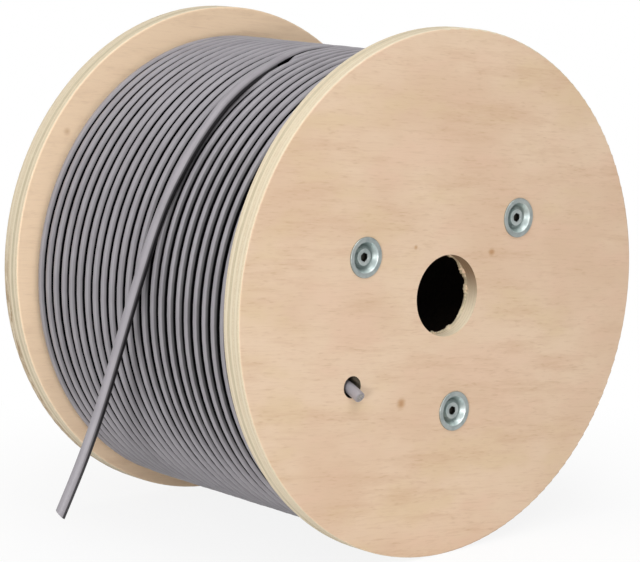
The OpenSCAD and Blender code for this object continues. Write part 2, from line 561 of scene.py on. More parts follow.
@dataclass(frozen=True)
class VeneerFace:
    """Pale fine-grained veneer on a flange's faces.

    Attributes:
        light: Its colour in the palest clouds.
        tone: Its main colour between the clouds.
        yellow: Its yellow patches.
        pink: Its pink patches.
        inner: Colour of the faces towards the winding, painted paler as light on faces that the winding
            shades.
        streaks: Its figure.
        threads: Its fibres.
        pore: Colour of its pores.
        knot: Colour of its knots.
        grain_turn: Turn of the grain from level.
        clouds: Noise of the clouds.
        patches: Noise of the patches.
        figure: Noise of the figure.
        fibre: Noise of the fibres.
        pores: Noise of the pores.
        pore_edge: How the pores come in, by their noise.
        pore_strength: How strong they are, by the figure.
        inner_edge: How the inner colour ends, by the depth in the board.
        inner_share: How strong it is under the grain.
        inner_calm: How strong it is over the grain.
        fibre_height: Share of the relief that the fibres rise.
        pore_height: Share of the relief that the pores sink.
        knots: The knots.
    """

    light: Colour = srgb(226, 200, 173)
    tone: Tint = Tint(srgb(218, 188, 160), (0.35, 0.68))
    yellow: Tint = Tint(srgb(219, 193, 158), (0.5, 0.68), 0.65)
    pink: Tint = Tint(srgb(224, 191, 166), (0.5, 0.32), 0.5)
    inner: Colour = srgb(243, 215, 183)
    streaks: Tint = Tint(srgb(208, 174, 144), (0.46, 0.76), 0.62)
    threads: Tint = Tint(srgb(208, 174, 144), (0.5, 0.78), 0.42)
    pore: Colour = srgb(188, 151, 119)
    knot: Colour = srgb(178, 130, 82)
    grain_turn: float = math.radians(-7.0)
    clouds: Grain = Grain((9.0, 9.0, 14.0), 3.0, 0.55)
    patches: Grain = Grain((11.0, 30.0, 26.0), 3.0, 0.6)
    figure: Grain = Grain((15.0, 24.0, 100.0), 4.0, 0.65)
    fibre: Grain = Grain((34.0, 40.0, 640.0), 3.0, 0.6)
    pores: Grain = Grain((120.0, 80.0, 760.0), 1.0, 0.5)
    pore_edge: Ramp = Ramp((0.54, 0.78))
    pore_strength: Ramp = Ramp((0.3, 0.7), (0.08, 0.32))
    inner_edge: Ramp = Ramp((1.0 * MM, 4.0 * MM), (1.0, 0.0))
    inner_share: float = 0.92
    inner_calm: float = 0.5
    fibre_height: float = 0.8
    pore_height: float = 0.6
    knots: tuple[Knot, ...] = (
        Knot((-46 * MM, -147 * MM, -76 * MM), 5.5 * MM, 0.8),
        Knot((46 * MM, -147 * MM, 28 * MM), 4.0 * MM, 0.75),
        Knot((-32 * MM, -147 * MM, 40 * MM), 2.4 * MM, 0.7),
        Knot((120 * MM, 147 * MM, 84 * MM), 5.0 * MM, 0.55),
        Knot((-88 * MM, 147 * MM, -96 * MM), 4.0 * MM, 0.5),
        Knot((-150 * MM, 129 * MM, 110 * MM), 4.0 * MM, 0.4),
    )

    def layer(self, g: Graph, place: Socket, depth: Socket) -> tuple[Socket, Socket]:
        """Makes the veneer.

        Args:
            g: The material's nodes.
            place: Place in the drum's frame.
            depth: Depth in the board from its inner face.

        Returns:
            Its colour and its height.
        """
        turn = (0.0, self.grain_turn, 0.0)
        patch = g.noise(place, self.patches, turn)
        figure = g.noise(place, self.figure, turn)
        fibre = g.noise(place, self.fibre, turn)
        pores = g.ramp(g.noise(place, self.pores, turn), self.pore_edge)
        pores = g.times(pores, g.ramp(figure, self.pore_strength))
        inside = g.ramp(depth, self.inner_edge)
        colour = g.tint(g.noise(place, self.clouds, turn), self.light, self.tone)
        colour = g.tint(patch, colour, self.yellow)
        colour = g.tint(patch, colour, self.pink)
        # Painted light: the faces towards the winding are paler, against the shade that the winding casts
        # on them.
        colour = g.mix(g.times(inside, self.inner_share), colour, self.inner)
        colour = g.tint(figure, colour, self.streaks)
        colour = g.tint(fibre, colour, self.threads)
        colour = g.mix(pores, colour, self.pore)
        colour = g.mix(g.times(inside, self.inner_calm), colour, self.inner)
        for knot in self.knots:
            colour = g.mix(knot.share_at(g, place, fibre), colour, self.knot)
        rise = g.times(fibre, self.fibre_height)
        return colour, g.math("SUBTRACT", rise, g.times(pores, self.pore_height))


@dataclass(frozen=True)
class PlyEdge:
    """Plies on the edges of a flange and in its holes.

    Attributes:
        plies: Number of plies in the board.
        tone: Colour of a ply along its fibres.
        streak: Its streaks.
        end: Colour of a ply across its fibres.
        dark: Colour of the one dark ply.
        dark_ply: Its number, counted from 0 at the inner face.
        dark_strength: How strong it is, by the streaks.
        bore: Colour of the spindle hole's wall, painted paler than the plies as light.
        bore_top_painted_shade: Painted shade on the wall's upper part, darker towards the top.
        bore_edge: How the wall's colour ends, by the way from the axle.
        glue: Colour of the seams.
        scuff: Colour of the rear rim's scuffed outer plies.
        scuff_depth: How the scuffs come in, by the depth in the board.
        scuff_z: How they come in, by the height.
        scuff_strength: How strong they are, by their noise.
        streaks: Noise of the streaks.
        specks: Noise of the end grain.
        end_strength: How strong the end grain is, by its noise.
        waver: Noise in which the plies wander.
        wander: How far they wander, in plies.
        seam_edge: How a seam comes in, by the way from the ply's middle in plies.
        breaks: Noise in which the seams are broken.
        seam_strength: How strong a seam is, by that noise.
        frays: Noise of the scuffs.
        speck_height: Share of the relief that the end grain rises.
        seam_height: Share of the relief that a seam sinks.
    """

    plies: int = 7
    tone: Colour = srgb(221, 209, 184)
    streak: Tint = Tint(srgb(218, 188, 160), (0.45, 0.75), 0.3)
    end: Colour = srgb(206, 188, 156)
    dark: Colour = srgb(184, 172, 142)
    dark_ply: float = 2.0
    dark_strength: Ramp = Ramp((0.3, 0.7), (0.35, 0.75))
    bore: Colour = srgb(238, 222, 194)
    bore_top_painted_shade: Tint = Tint(srgb(118, 85, 55), (-22 * MM, 19 * MM))
    bore_edge: Ramp = Ramp((36 * MM, 39.6 * MM), (0.88, 0.0))
    glue: Colour = srgb(170, 150, 124)
    scuff: Colour = srgb(146, 116, 82)
    scuff_depth: Ramp = Ramp((9.5 * MM, 12.5 * MM))
    scuff_z: Ramp = Ramp((60 * MM, -50 * MM))
    scuff_strength: Ramp = Ramp((0.4, 0.58), (0.15, 0.85))
    streaks: Grain = Grain((60.0, 900.0, 60.0), 3.0, 0.6)
    specks: Grain = Grain(780.0, 2.0, 0.6)
    end_strength: Ramp = Ramp((0.3, 0.7), (0.2, 0.8))
    waver: Grain = Grain(26.0, 2.0, 0.5)
    wander: Ramp = Ramp((0.2, 0.8), (-0.12, 0.12))
    seam_edge: Ramp = Ramp((0.41, 0.48))
    breaks: Grain = Grain(210.0, 2.0, 0.6)
    seam_strength: Ramp = Ramp((0.3, 0.6), (0.08, 0.55))
    frays: Grain = Grain((90.0, 420.0, 90.0), 3.0, 0.65)
    speck_height: float = 0.7
    seam_height: float = 0.5

    def layer(self, g: Graph, place: Socket, depth: Socket, board: float) -> tuple[Socket, Socket]:
        """Makes the plies, with end grain where a ply's fibres meet the cut.

        Args:
            g: The material's nodes.
            place: Place in the drum's frame.
            depth: Depth in the board from its inner face.
            board: Thickness of the board.

        Returns:
            Its colour and its height.
        """
        wander = g.ramp(g.noise(place, self.waver), self.wander)
        count = g.math("ADD", g.times(depth, self.plies / board), wander)
        ply = g.math("FLOOR", count)
        speck = g.noise(place, self.specks)
        streak = g.noise(place, self.streaks)
        end_share = g.times(self.end_at(g, ply), g.ramp(speck, self.end_strength))
        is_dark = g.math("COMPARE", ply, self.dark_ply)
        dark_share = g.times(is_dark, g.ramp(streak, self.dark_strength))
        seam = g.math("ABSOLUTE", g.math("SUBTRACT", g.math("FRACT", count), 0.5))
        broken = g.ramp(g.noise(place, self.breaks), self.seam_strength)
        seam_share = g.times(g.ramp(seam, self.seam_edge), broken)
        colour = g.tint(streak, self.tone, self.streak)
        colour = g.mix(end_share, colour, self.end)
        colour = self.bore_wall(g, place, colour)
        colour = g.mix(dark_share, colour, self.dark)
        colour = g.mix(seam_share, colour, self.glue)
        colour = g.mix(self.scuff_at(g, place, depth), colour, self.scuff)
        rise = g.times(speck, self.speck_height)
        return colour, g.math("SUBTRACT", rise, g.times(seam_share, self.seam_height))

    def end_at(self, g: Graph, ply: Socket) -> Socket:
        """Gives how far a cut goes across a ply's fibres, which lie along X and Z in turn.

        Args:
            g: The material's nodes.
            ply: Number of the ply.

        Returns:
            The share of end grain.
        """
        normal_x, _, normal_z = g.split(g.normal())
        across = g.math("MODULO", ply, 2.0)
        end_z = g.times(g.math("POWER", normal_z, 2.0), across)
        end_x = g.times(g.math("POWER", normal_x, 2.0), g.math("SUBTRACT", 1.0, across))
        return g.math("ADD", end_z, end_x)

    def bore_wall(self, g: Graph, place: Socket, colour: Socket) -> Socket:
        """Gives the colour of an edge with that of the spindle hole's wall over it, painted pale low down
        as light and dark brown towards the top as shade.

        Args:
            g: The material's nodes.
            place: Place in the drum's frame.
            colour: Colour of the edge.

        Returns:
            The colour.
        """
        _, _, z = g.split(place)
        apart = g.length(g.scaled(place, (1.0, 0.0, 1.0)))
        return g.mix(g.ramp(apart, self.bore_edge), colour, g.tint(z, self.bore, self.bore_top_painted_shade))

    def scuff_at(self, g: Graph, place: Socket, depth: Socket) -> Socket:
        """Gives how scuffed the outer plies of the rear rim are, low down.

        Args:
            g: The material's nodes.
            place: Place in the drum's frame.
            depth: Depth in the board from its inner face.

        Returns:
            The share of the scuffs.
        """
        _, y, z = g.split(place)
        outer = g.times(g.ramp(depth, self.scuff_depth), g.math("GREATER_THAN", y, 0.0))
        strength = g.ramp(g.noise(place, self.frays), self.scuff_strength)
        return g.times(outer, g.ramp(z, self.scuff_z), strength)


@dataclass(frozen=True)
class PlywoodFinish:
    """Bare plywood: a veneer on the faces, plies on every edge, and painted shade in the cable's hole.

    Attributes:
        inner_y: Place of the inner faces from the drum's middle.
        board: Thickness of a board.
        name: Name of the material.
        face: The veneer.
        edge: The plies.
        face_turn: How an edge turns into a face, by the normal along Y.
        hollow: Colour of the painted shade inside the hole of the cable's inner end.
        hollow_x: Place of that hole along X.
        hollow_z: Place of that hole along Z.
        hollow_edge: How its dark ends, by the way from its middle.
        rough: Its roughness, by the height of the veneer.
        gloss: How strongly it mirrors.
        relief: Depth of the relief.
    """

    inner_y: float
    board: float
    name: str = "bare_plywood"
    face: VeneerFace = VeneerFace()
    edge: PlyEdge = PlyEdge()
    face_turn: Ramp = Ramp((0.55, 0.85))
    hollow: Colour = srgb(40, 30, 24)
    hollow_x: float = -94.2 * MM
    hollow_z: float = -56.6 * MM
    hollow_edge: Ramp = Ramp((9.0 * MM, 10.35 * MM), (0.8, 0.0))
    rough: Ramp = Ramp((0.2, 0.8), (0.7, 0.55))
    gloss: float = 0.3
    relief: float = 0.12 * MM

    def material(self) -> bpy.types.Material:
        """Makes the material."""
        g = Graph(bpy.data.materials.new(self.name))
        place = g.place()
        _, y, _ = g.split(place)
        depth = g.math("SUBTRACT", g.math("ABSOLUTE", y), self.inner_y)
        face, face_height = self.face.layer(g, place, depth)
        edge, edge_height = self.edge.layer(g, place, depth, self.board)
        # Painted shade inside the hole of the cable's inner end.
        edge = g.mix(self.hollow_at(g, place), edge, self.hollow)
        _, normal_y, _ = g.split(g.normal())
        on_face = g.ramp(g.math("ABSOLUTE", normal_y), self.face_turn)
        colour = g.mix(on_face, edge, face)
        rough = g.ramp(face_height, self.rough)
        normal = g.bump(g.mix(on_face, edge_height, face_height), self.relief)
        return g.surface(Base_Color=colour, Roughness=rough, Specular_IOR_Level=self.gloss, Normal=normal)

    def hollow_at(self, g: Graph, place: Socket) -> Socket:
        """Gives the share of the painted shade inside the hole of the cable's inner end.

        Args:
            g: The material's nodes.
            place: Place in the drum's frame.

        Returns:
            The share.
        """
        x, _, z = g.split(place)
        along_x = g.math("POWER", g.math("SUBTRACT", x, self.hollow_x), 2.0)
        along_z = g.math("POWER", g.math("SUBTRACT", z, self.hollow_z), 2.0)
        return g.ramp(g.math("SQRT", g.math("ADD", along_x, along_z)), self.hollow_edge)


@dataclass(frozen=True)
class ZincFinish:
    """Zinc plate on pressed steel, bluish and a little cloudy, with painted shade in its hollows, on the
    washers' rims and on the heads' tops.

    Attributes:
        name: Name of the material.
        tone: Its main colour.
        cool: Its bluish clouds.
        warm: Its yellowish patches.
        painted_shade: Colour of its painted shade in hollows, on the washers' rims and on the heads'
            tops.
        clouds: Noise of the clouds.
        patches: Noise of the patches.
        scratches: Noise of the fine scratches.
        rough: Its roughness, by the clouds.
        relief: Depth of the scratches.
    """

    name: str = "zinc_plate"
    tone: Colour = srgb(196, 204, 202)
    cool: Tint = Tint(srgb(174, 185, 184), (0.35, 0.7))
    warm: Tint = Tint(srgb(197, 199, 191), (0.5, 0.75), 0.5)
    painted_shade: Colour = srgb(52, 50, 46)
    clouds: Grain = Grain(160.0, 3.0, 0.6)
    patches: Grain = Grain(60.0, 2.0, 0.5)
    scratches: Grain = Grain((900.0, 900.0, 160.0), 3.0, 0.6)
    rough: Ramp = Ramp((0.25, 0.75), (0.34, 0.5))
    relief: float = 0.02 * MM

    def material(self) -> bpy.types.Material:
        """Makes the material."""
        g = Graph(bpy.data.materials.new(self.name))
        place = g.place()
        cloud = g.noise(place, self.clouds)
        nest = g.node("ShaderNodeAttribute", attribute_name="nest").outputs["Fac"]
        colour = g.tint(cloud, self.tone, self.cool)
        colour = g.tint(g.noise(place, self.patches), colour, self.warm)
        # Painted shade, by the nest attribute: darker in the dishes and sockets, on the washers' rims and
        # on the heads' tops.
        colour = g.mix(g.math("MULTIPLY", nest, 1.0, clamp=True), colour, self.painted_shade)
        rough = g.ramp(cloud, self.rough)
        normal = g.bump(g.noise(place, self.scratches), self.relief)
        return g.surface(Base_Color=colour, Metallic=1.0, Roughness=rough, Normal=normal)


@dataclass(frozen=True)
class BoardFinish:
    """Dark wound board of the core tube, with the spiral seams of its strips.

    Attributes:
        name: Name of the material.
        tone: Its main colour.
        dark: Its fibres, and the colour of its seams.
        strip: Way along the tube that a strip takes in one turn.
        seam_edge: How a seam comes in, by the way from the strip's middle in strips.
        fibre: Noise of the fibres.
        roughness: Its roughness.
        relief: Depth of the relief.
    """

    name: str = "wound_board"
    tone: Colour = srgb(56, 43, 32)
    dark: Tint = Tint(srgb(32, 24, 18), (0.3, 0.75))
    strip: float = 110 * MM
    seam_edge: Ramp = Ramp((0.475, 0.495))
    fibre: Grain = Grain(340.0, 4.0, 0.65)
    roughness: float = 0.85
    relief: float = 0.2 * MM

    def material(self) -> bpy.types.Material:
        """Makes the material."""
        g = Graph(bpy.data.materials.new(self.name))
        place = g.place()
        x, y, z = g.split(place)
        turn = g.math("DIVIDE", g.math("ARCTAN2", z, x), TURN)
        part = g.math("FRACT", g.math("ADD", g.math("DIVIDE", y, self.strip), turn))
        seam = g.ramp(g.math("ABSOLUTE", g.math("SUBTRACT", part, 0.5)), self.seam_edge)
        fibre = g.noise(place, self.fibre)
        colour = g.tint(fibre, self.tone, self.dark)
        colour = g.mix(seam, colour, self.dark.colour)
        normal = g.bump(g.math("SUBTRACT", fibre, seam), self.relief)
        return g.surface(Base_Color=colour, Roughness=self.roughness, Normal=normal)


@dataclass(frozen=True)
class FloorFinish:
    """Pale studio floor that takes the drum's shadow and turns plain white away from it.

    Attributes:
        name: Name of the material.
        pale: Its colour.
        white: Share of white over it, by the way from the drum's middle.
    """

    name: str = "studio_floor"
    pale: Colour = (0.9, 0.9, 0.9, 1.0)
    white: Ramp = Ramp((0.18, 0.5), (0.88, 1.0))

    def material(self) -> bpy.types.Material:
        """Makes the material."""
        g = Graph(bpy.data.materials.new(self.name))
        apart = g.length(g.scaled(g.place(), (1.0, 1.0, 0.0)))
        white = g.times(g.ramp(apart, self.white), g.seen())
        matt = g.node("ShaderNodeBsdfDiffuse")
        g.feed(matt.inputs["Color"], self.pale)
        glow = g.node("ShaderNodeEmission")
        mixed = g.node("ShaderNodeMixShader")
        g.feed(mixed.inputs[0], white)
        g.feed(mixed.inputs[1], matt.outputs[0])
        g.feed(mixed.inputs[2], glow.outputs[0])
        output = g.node("ShaderNodeOutputMaterial")
        g.feed(output.inputs[0], mixed.outputs[0])
        return g.owner


def put(name: str, data: bpy.types.ID) -> bpy.types.Object:
    """Puts a new object in the scene.

    Args:
        name: Its name.
        data: Its mesh, lamp or camera.

    Returns:
        The object.
    """
    made = bpy.data.objects.new(name, data)
    bpy.context.scene.collection.objects.link(made)
    return made


def aim(made: bpy.types.Object, place: Sequence[float], ahead: Vector) -> None:
    """Stands a camera or a lamp at a place and turns it.

    Args:
        made: The camera or lamp.
        place: The place.
        ahead: Direction in which it looks or shines.
    """
    made.location = place
    made.rotation_mode = "QUATERNION"
    made.rotation_quaternion = ahead.to_track_quat("-Z", "Y")


def round_angles(count: int) -> np.ndarray:
    """Gives equal steps of angle round a full turn."""
    return np.arange(count) / count * TURN


def outward(angle: np.ndarray) -> np.ndarray:
    """Gives the directions out from the axle at some angles."""
    return np.stack([np.cos(angle), np.zeros_like(angle), np.sin(angle)], axis=-1)


class Draft:
    """Gathers the points and faces of one piece and makes its mesh."""

    def __init__(self) -> None:
        """Starts with nothing."""
        self.points: list[np.ndarray] = []
        self.faces: list[tuple[int, ...]] = []
        self.slots: list[int] = []
        self.sheath: list[np.ndarray] = []
        self.nest: list[np.ndarray] = []
        self.is_cable = False
        self.has_painted_shade = False
        self.count = 0

    def loft(
        self,
        rings: np.ndarray,
        slot: int = 0,
        closed: bool = False,
        first_cap: bool = False,
        last_cap: bool = False,
    ) -> None:
        """Joins a row of rings of points by faces.

        Args:
            rings: Rings by points by three.
            slot: Material slot of the faces.
            closed: Whether the last ring joins the first.
            first_cap: Whether a face closes the first ring.
            last_cap: Whether a face closes the last ring.
        """
        row_count, side_count = rings.shape[:2]
        start = self.count
        rows = np.arange(row_count if closed else row_count - 1)[:, None]
        sides = np.arange(side_count)[None, :]
        next_rows = (rows + 1) % row_count
        next_sides = (sides + 1) % side_count
        corners = [
            rows * side_count + sides,
            rows * side_count + next_sides,
            next_rows * side_count + next_sides,
            next_rows * side_count + sides,
        ]
        quads = np.stack([np.broadcast_to(c, (len(rows), side_count)) for c in corners], axis=-1)
        made = [tuple(face) for face in (quads.reshape(-1, 4) + start).tolist()]
        if first_cap:
            made.append(tuple(range(start + side_count - 1, start - 1, -1)))
        if last_cap:
            end = start + (row_count - 1) * side_count
            made.append(tuple(range(end, end + side_count)))
        total = row_count * side_count
        self.points.append(rings.reshape(-1, 3))
        self.sheath.append(np.zeros((total, 3)))
        self.nest.append(np.zeros(total))
        self.faces.extend(made)
        self.slots.extend([slot] * len(made))
        self.count += total

    def mark_sheath(
        self, along: np.ndarray, sides: int, radius: float, nest: np.ndarray | float
    ) -> None:
        """Notes where the last loft's points lie on the cable, for its finish.

        Args:
            along: Way along the cable of each ring.
            sides: Points of a ring.
            radius: Radius of the cable.
            nest: How the rings lie, as a number on the scale of Nest.
        """
        angle = round_angles(sides)
        ring = np.stack([np.cos(angle) * radius, np.sin(angle) * radius], axis=-1)
        marks = np.empty((len(along), sides, 3))
        marks[:, :, :2] = ring
        marks[:, :, 2] = along[:, None]
        self.sheath[-1] = marks.reshape(-1, 3)
        self.nest[-1] = np.repeat(np.broadcast_to(nest, along.shape), sides)
        self.is_cable = True

    def mark_painted_shade(self, nest: np.ndarray) -> None:
        """Notes how much painted shade each ring of the last loft takes, for its finish.

        Args:
            nest: Share of painted shade for each ring, from 0 to 1.
        """
        self.nest[-1] = np.repeat(nest, len(self.nest[-1]) // len(nest))
        self.has_painted_shade = True

    def piece(
        self, name: str, materials: Sequence[bpy.types.Material], sharp_deg: float = 40.0
    ) -> bpy.types.Object:
        """Makes the piece, riding on the drum.

        Args:
            name: Name of the piece.
            materials: Its materials in the order of their slots.
            sharp_deg: Angle over which an edge stays sharp.

        Returns:
            The object.
        """
        mesh = bpy.data.meshes.new(name)
        mesh.from_pydata(np.concatenate(self.points).tolist(), [], self.faces)
        mesh.polygons.foreach_set("material_index", self.slots)
        mesh.polygons.foreach_set("use_smooth", [True] * len(self.faces))
        if self.is_cable:
            marks = mesh.attributes.new("sheath", "FLOAT_VECTOR", "POINT")
            marks.data.foreach_set("vector", np.concatenate(self.sheath).ravel())
        if self.is_cable or self.has_painted_shade:
            nests = mesh.attributes.new("nest", "FLOAT", "POINT")
            nests.data.foreach_set("value", np.concatenate(self.nest))
        mesh.update()
        mesh.set_sharp_from_angle(angle=math.radians(sharp_deg))
        for material in materials:
            mesh.materials.append(material)
        made = put(name, mesh)
        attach(made, BODY)
        log.info("%s: %d faces", name, len(self.faces))
        return made


def smooth(points: Sequence[Sequence[float]], steps: int) -> np.ndarray:
    """Draws a smooth curve through a list of points.

    Args:
        points: The points, of any number of parts.
        steps: Steps from one point to the next.

    Returns:
        The points of the curve.
    """
    base = np.asarray(points, dtype=float)
    padded = np.concatenate([base[:1], base, base[-1:]])
    rows = []
    for i in range(len(base) - 1):
        a, b, c, d = padded[i : i + 4]
        bend = 2 * a - 5 * b + 4 * c - d
        twist = 3 * b - a - 3 * c + d
        for k in range(steps):
            t = k / steps
            rows.append(0.5 * (2 * b + (c - a) * t + bend * t**2 + twist * t**3))
    rows.append(base[-1])
    return np.array(rows)


def rounded(corners: Sequence[tuple[float, float, float]], steps: int = 5) -> list[tuple[float, float]]:
    """Rounds the corners of a closed outline.

    Args:
        corners: Radius, height and rounding of each corner.
        steps: Steps of each rounding.

    Returns:
        The outline's points.
    """
    made = []
    for i, (radius, height, ease) in enumerate(corners):
        here = np.array([radius, height])
        if ease <= 0.0:
            made.append((radius, height))
            continue
        back = np.array(corners[i - 1][:2]) - here
        ahead = np.array(corners[(i + 1) % len(corners)][:2]) - here
        back /= np.linalg.norm(back)
        ahead /= np.linalg.norm(ahead)
        half = math.acos(max(-1.0, min(1.0, float(back @ ahead)))) / 2.0
        reach = ease / math.tan(half)
        start, end = here + back * reach, here + ahead * reach
        for k in range(steps + 1):
            t = k / steps
            made.append(tuple((1 - t) ** 2 * start + 2 * t * (1 - t) * here + t**2 * end))
    return made


def turned_rings(
    loops: Sequence[tuple[float | np.ndarray, float]],
    middle: Vector,
    side: Side,
    segments: int,
    first_deg: float = 0.0,
) -> np.ndarray:
    """Makes the rings of a piece that is turned about a line along Y.

    Args:
        loops: Radius, or radii round the ring, and height out of the drum, of each ring.
        middle: A point on the line, from which the heights count.
        side: The end of the drum that the heights point out of.
        segments: Points of each ring.
        first_deg: Direction of the first point from the line.

    Returns:
        Rings by points by three.
    """
    around = outward(math.radians(first_deg) + round_angles(segments))
    rings = []
    for radius, height in loops:
        radii = np.broadcast_to(radius, (segments,))
        out = np.array([0.0, side.value * height, 0.0])
        rings.append(np.array(middle) + around * radii[:, None] + out)
    return np.array(rings)


def hexagon(width: float, segments: int) -> np.ndarray:
    """Gives the radii of a hexagon with a corner at its first point.

    Args:
        width: Width across its flats.
        segments: Points round it.

    Returns:
        The radii.
    """
    sixth = TURN / 6.0
    return width / 2.0 / np.cos((round_angles(segments) % sixth) - sixth / 2.0)


def tube_rings(path: np.ndarray, radius: float, sides: int) -> np.ndarray:
    """Makes the rings of a round tube along a path.

    Args:
        path: Points of the path.
        radius: Radius of the tube.
        sides: Points of each ring.

    Returns:
        Rings by points by three.
    """
    ahead = np.gradient(path, axis=0)
    ahead /= np.linalg.norm(ahead, axis=1)[:, None]
    across = np.cross(np.array([0.0, 1.0, 0.0]), ahead)
    across /= np.linalg.norm(across, axis=1)[:, None]
    up = np.cross(ahead, across)
    angle = round_angles(sides)
    return path[:, None, :] + radius * (
        np.cos(angle)[None, :, None] * across[:, None, :] + np.sin(angle)[None, :, None] * up[:, None, :]
    )


def eased(share: np.ndarray) -> np.ndarray:
    """Lets shares from 0 to 1 start and end gently."""
    return share * share * (3.0 - 2.0 * share)


def path_way(path: np.ndarray) -> np.ndarray:
    """Gives the way along a path of each of its points."""
    steps = np.linalg.norm(np.diff(path, axis=0), axis=1)
    return np.concatenate([[0.0], np.cumsum(steps)])


@dataclass(frozen=True)
class DrumSizes:
    """Main sizes of the drum, in metres, as the frame has them.

    Attributes:
        face_y: Place of the outer faces from the middle.
        inner_y: Place of the inner faces from the middle.
        crest_r: Radius over the winding.
        sag: Drop of the winding's middle under the axle.
        half_w: Half width of the winding.
        cable_d: Diameter of the cable.
        bore_r: Radius of the spindle hole.
    """

    face_y: float
    inner_y: float
    crest_r: float
    sag: float
    half_w: float
    cable_d: float
    bore_r: float

    @classmethod
    def from_frame(cls) -> "DrumSizes":
        """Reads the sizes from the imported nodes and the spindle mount."""
        low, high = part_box("front_flange")
        winding_low, winding_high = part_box("cable_winding")
        start_low, start_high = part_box("cable_start")
        mount = frame["record"]["mounts"][0]
        return cls(
            face_y=-low[1],
            inner_y=-high[1],
            crest_r=(winding_high[0] - winding_low[0]) / 2.0,
            sag=-(winding_high[2] + winding_low[2]) / 2.0,
            half_w=winding_high[1],
            cable_d=start_high[0] - start_low[0],
            bore_r=mount["dims"]["r_mm"] * MM,
        )


@dataclass(frozen=True)
class PhotoCamera:
    """Camera at the photograph's viewing angle, on its frame of 640 by 562.

    Attributes:
        azimuth_deg: Direction in which it stands, from the front flange towards +X.
        elevation_deg: How far it looks down.
        place: Where it stands.
        lens_mm: Its focal length.
        sensor_mm: Width of its sensor.
        clip: Ways between which it sees.
    """

    azimuth_deg: float = -40.524
    elevation_deg: float = 10.224
    place: tuple[float, float, float] = (-1.3188, -1.5433, 0.3571)
    lens_mm: float = 146.57
    sensor_mm: float = 36.0
    clip: Band = (0.05, 100.0)

    def build(self) -> bpy.types.Object:
        """Makes the camera and gives it to the scene.

        Returns:
            The camera.
        """
        azimuth = math.radians(self.azimuth_deg)
        elevation = math.radians(self.elevation_deg)
        level = math.cos(elevation)
        back = Vector((math.sin(azimuth) * level, -math.cos(azimuth) * level, math.sin(elevation)))
        data = bpy.data.cameras.new("photo_camera")
        data.lens = self.lens_mm
        data.sensor_width = self.sensor_mm
        data.clip_start, data.clip_end = self.clip
        made = put("photo_camera", data)
        aim(made, self.place, -back)
        bpy.context.scene.camera = made
        return made


@dataclass(frozen=True)
class Softbox:
    """One large soft lamp.

    Attributes:
        name: Name of the lamp.
        place: Where it stands.
        size: Length of its sides.
        power: Its power in watts.
    """

    name: str
    place: tuple[float, float, float]
    size: float
    power: float

    def build(self, target: Vector) -> None:
        """Makes the lamp, turned to a target.

        Args:
            target: The point that it shines on.
        """
        data = bpy.data.lights.new(self.name, "AREA")
        data.shape = "SQUARE"
        data.size = self.size
        data.energy = self.power
        aim(put(self.name, data), self.place, target - Vector(self.place))


@dataclass(frozen=True)
class Studio:
    """Pale floor, soft lamps and a white surround.

    Attributes:
        floor_z: Height of the floor.
        floor_half: Half the width of the floor.
        fill: Strength of the surround as light on the drum.
        lamps: The lamps.
    """

    floor_z: float
    floor_half: float = 12.0
    fill: float = 0.36
    lamps: tuple[Softbox, ...] = (
        Softbox("key_lamp", (-1.75, -1.95, 1.7), 1.2, 17.0),
        Softbox("front_lamp", (-0.3, -1.2, 1.6), 1.0, 7.8),
        Softbox("low_lamp", (-2.4, -1.45, 0.06), 0.5, 29.0),
        Softbox("top_lamp", (-0.4, -0.3, 2.6), 1.6, 28.0),
    )

    def build(self) -> None:
        """Makes the floor, the lamps and the world."""
        half = self.floor_half
        corners = [(-half, -half, 0.0), (half, -half, 0.0), (half, half, 0.0), (-half, half, 0.0)]
        mesh = bpy.data.meshes.new("floor")
        mesh.from_pydata(corners, [], [(0, 1, 2, 3)])
        mesh.materials.append(FloorFinish().material())
        floor = put("floor", mesh)
        floor.location = (0.0, 0.0, self.floor_z)
        for lamp in self.lamps:
            lamp.build(Vector((0.0, 0.0, 0.0)))
        self.surround()
        log.info("studio: %d lamps", len(self.lamps))

    def surround(self) -> None:
        """Makes a world that is white to look at and lights the drum softly."""
        world = bpy.data.worlds.new("studio_world")
        g = Graph(world)
        glow = g.node("ShaderNodeBackground")
        g.feed(glow.inputs["Strength"], g.ease(g.seen(), 0.0, 1.0, self.fill, 1.0))
        output = g.node("ShaderNodeOutputWorld")
        g.feed(output.inputs[0], glow.outputs[0])
        bpy.context.scene.world = world


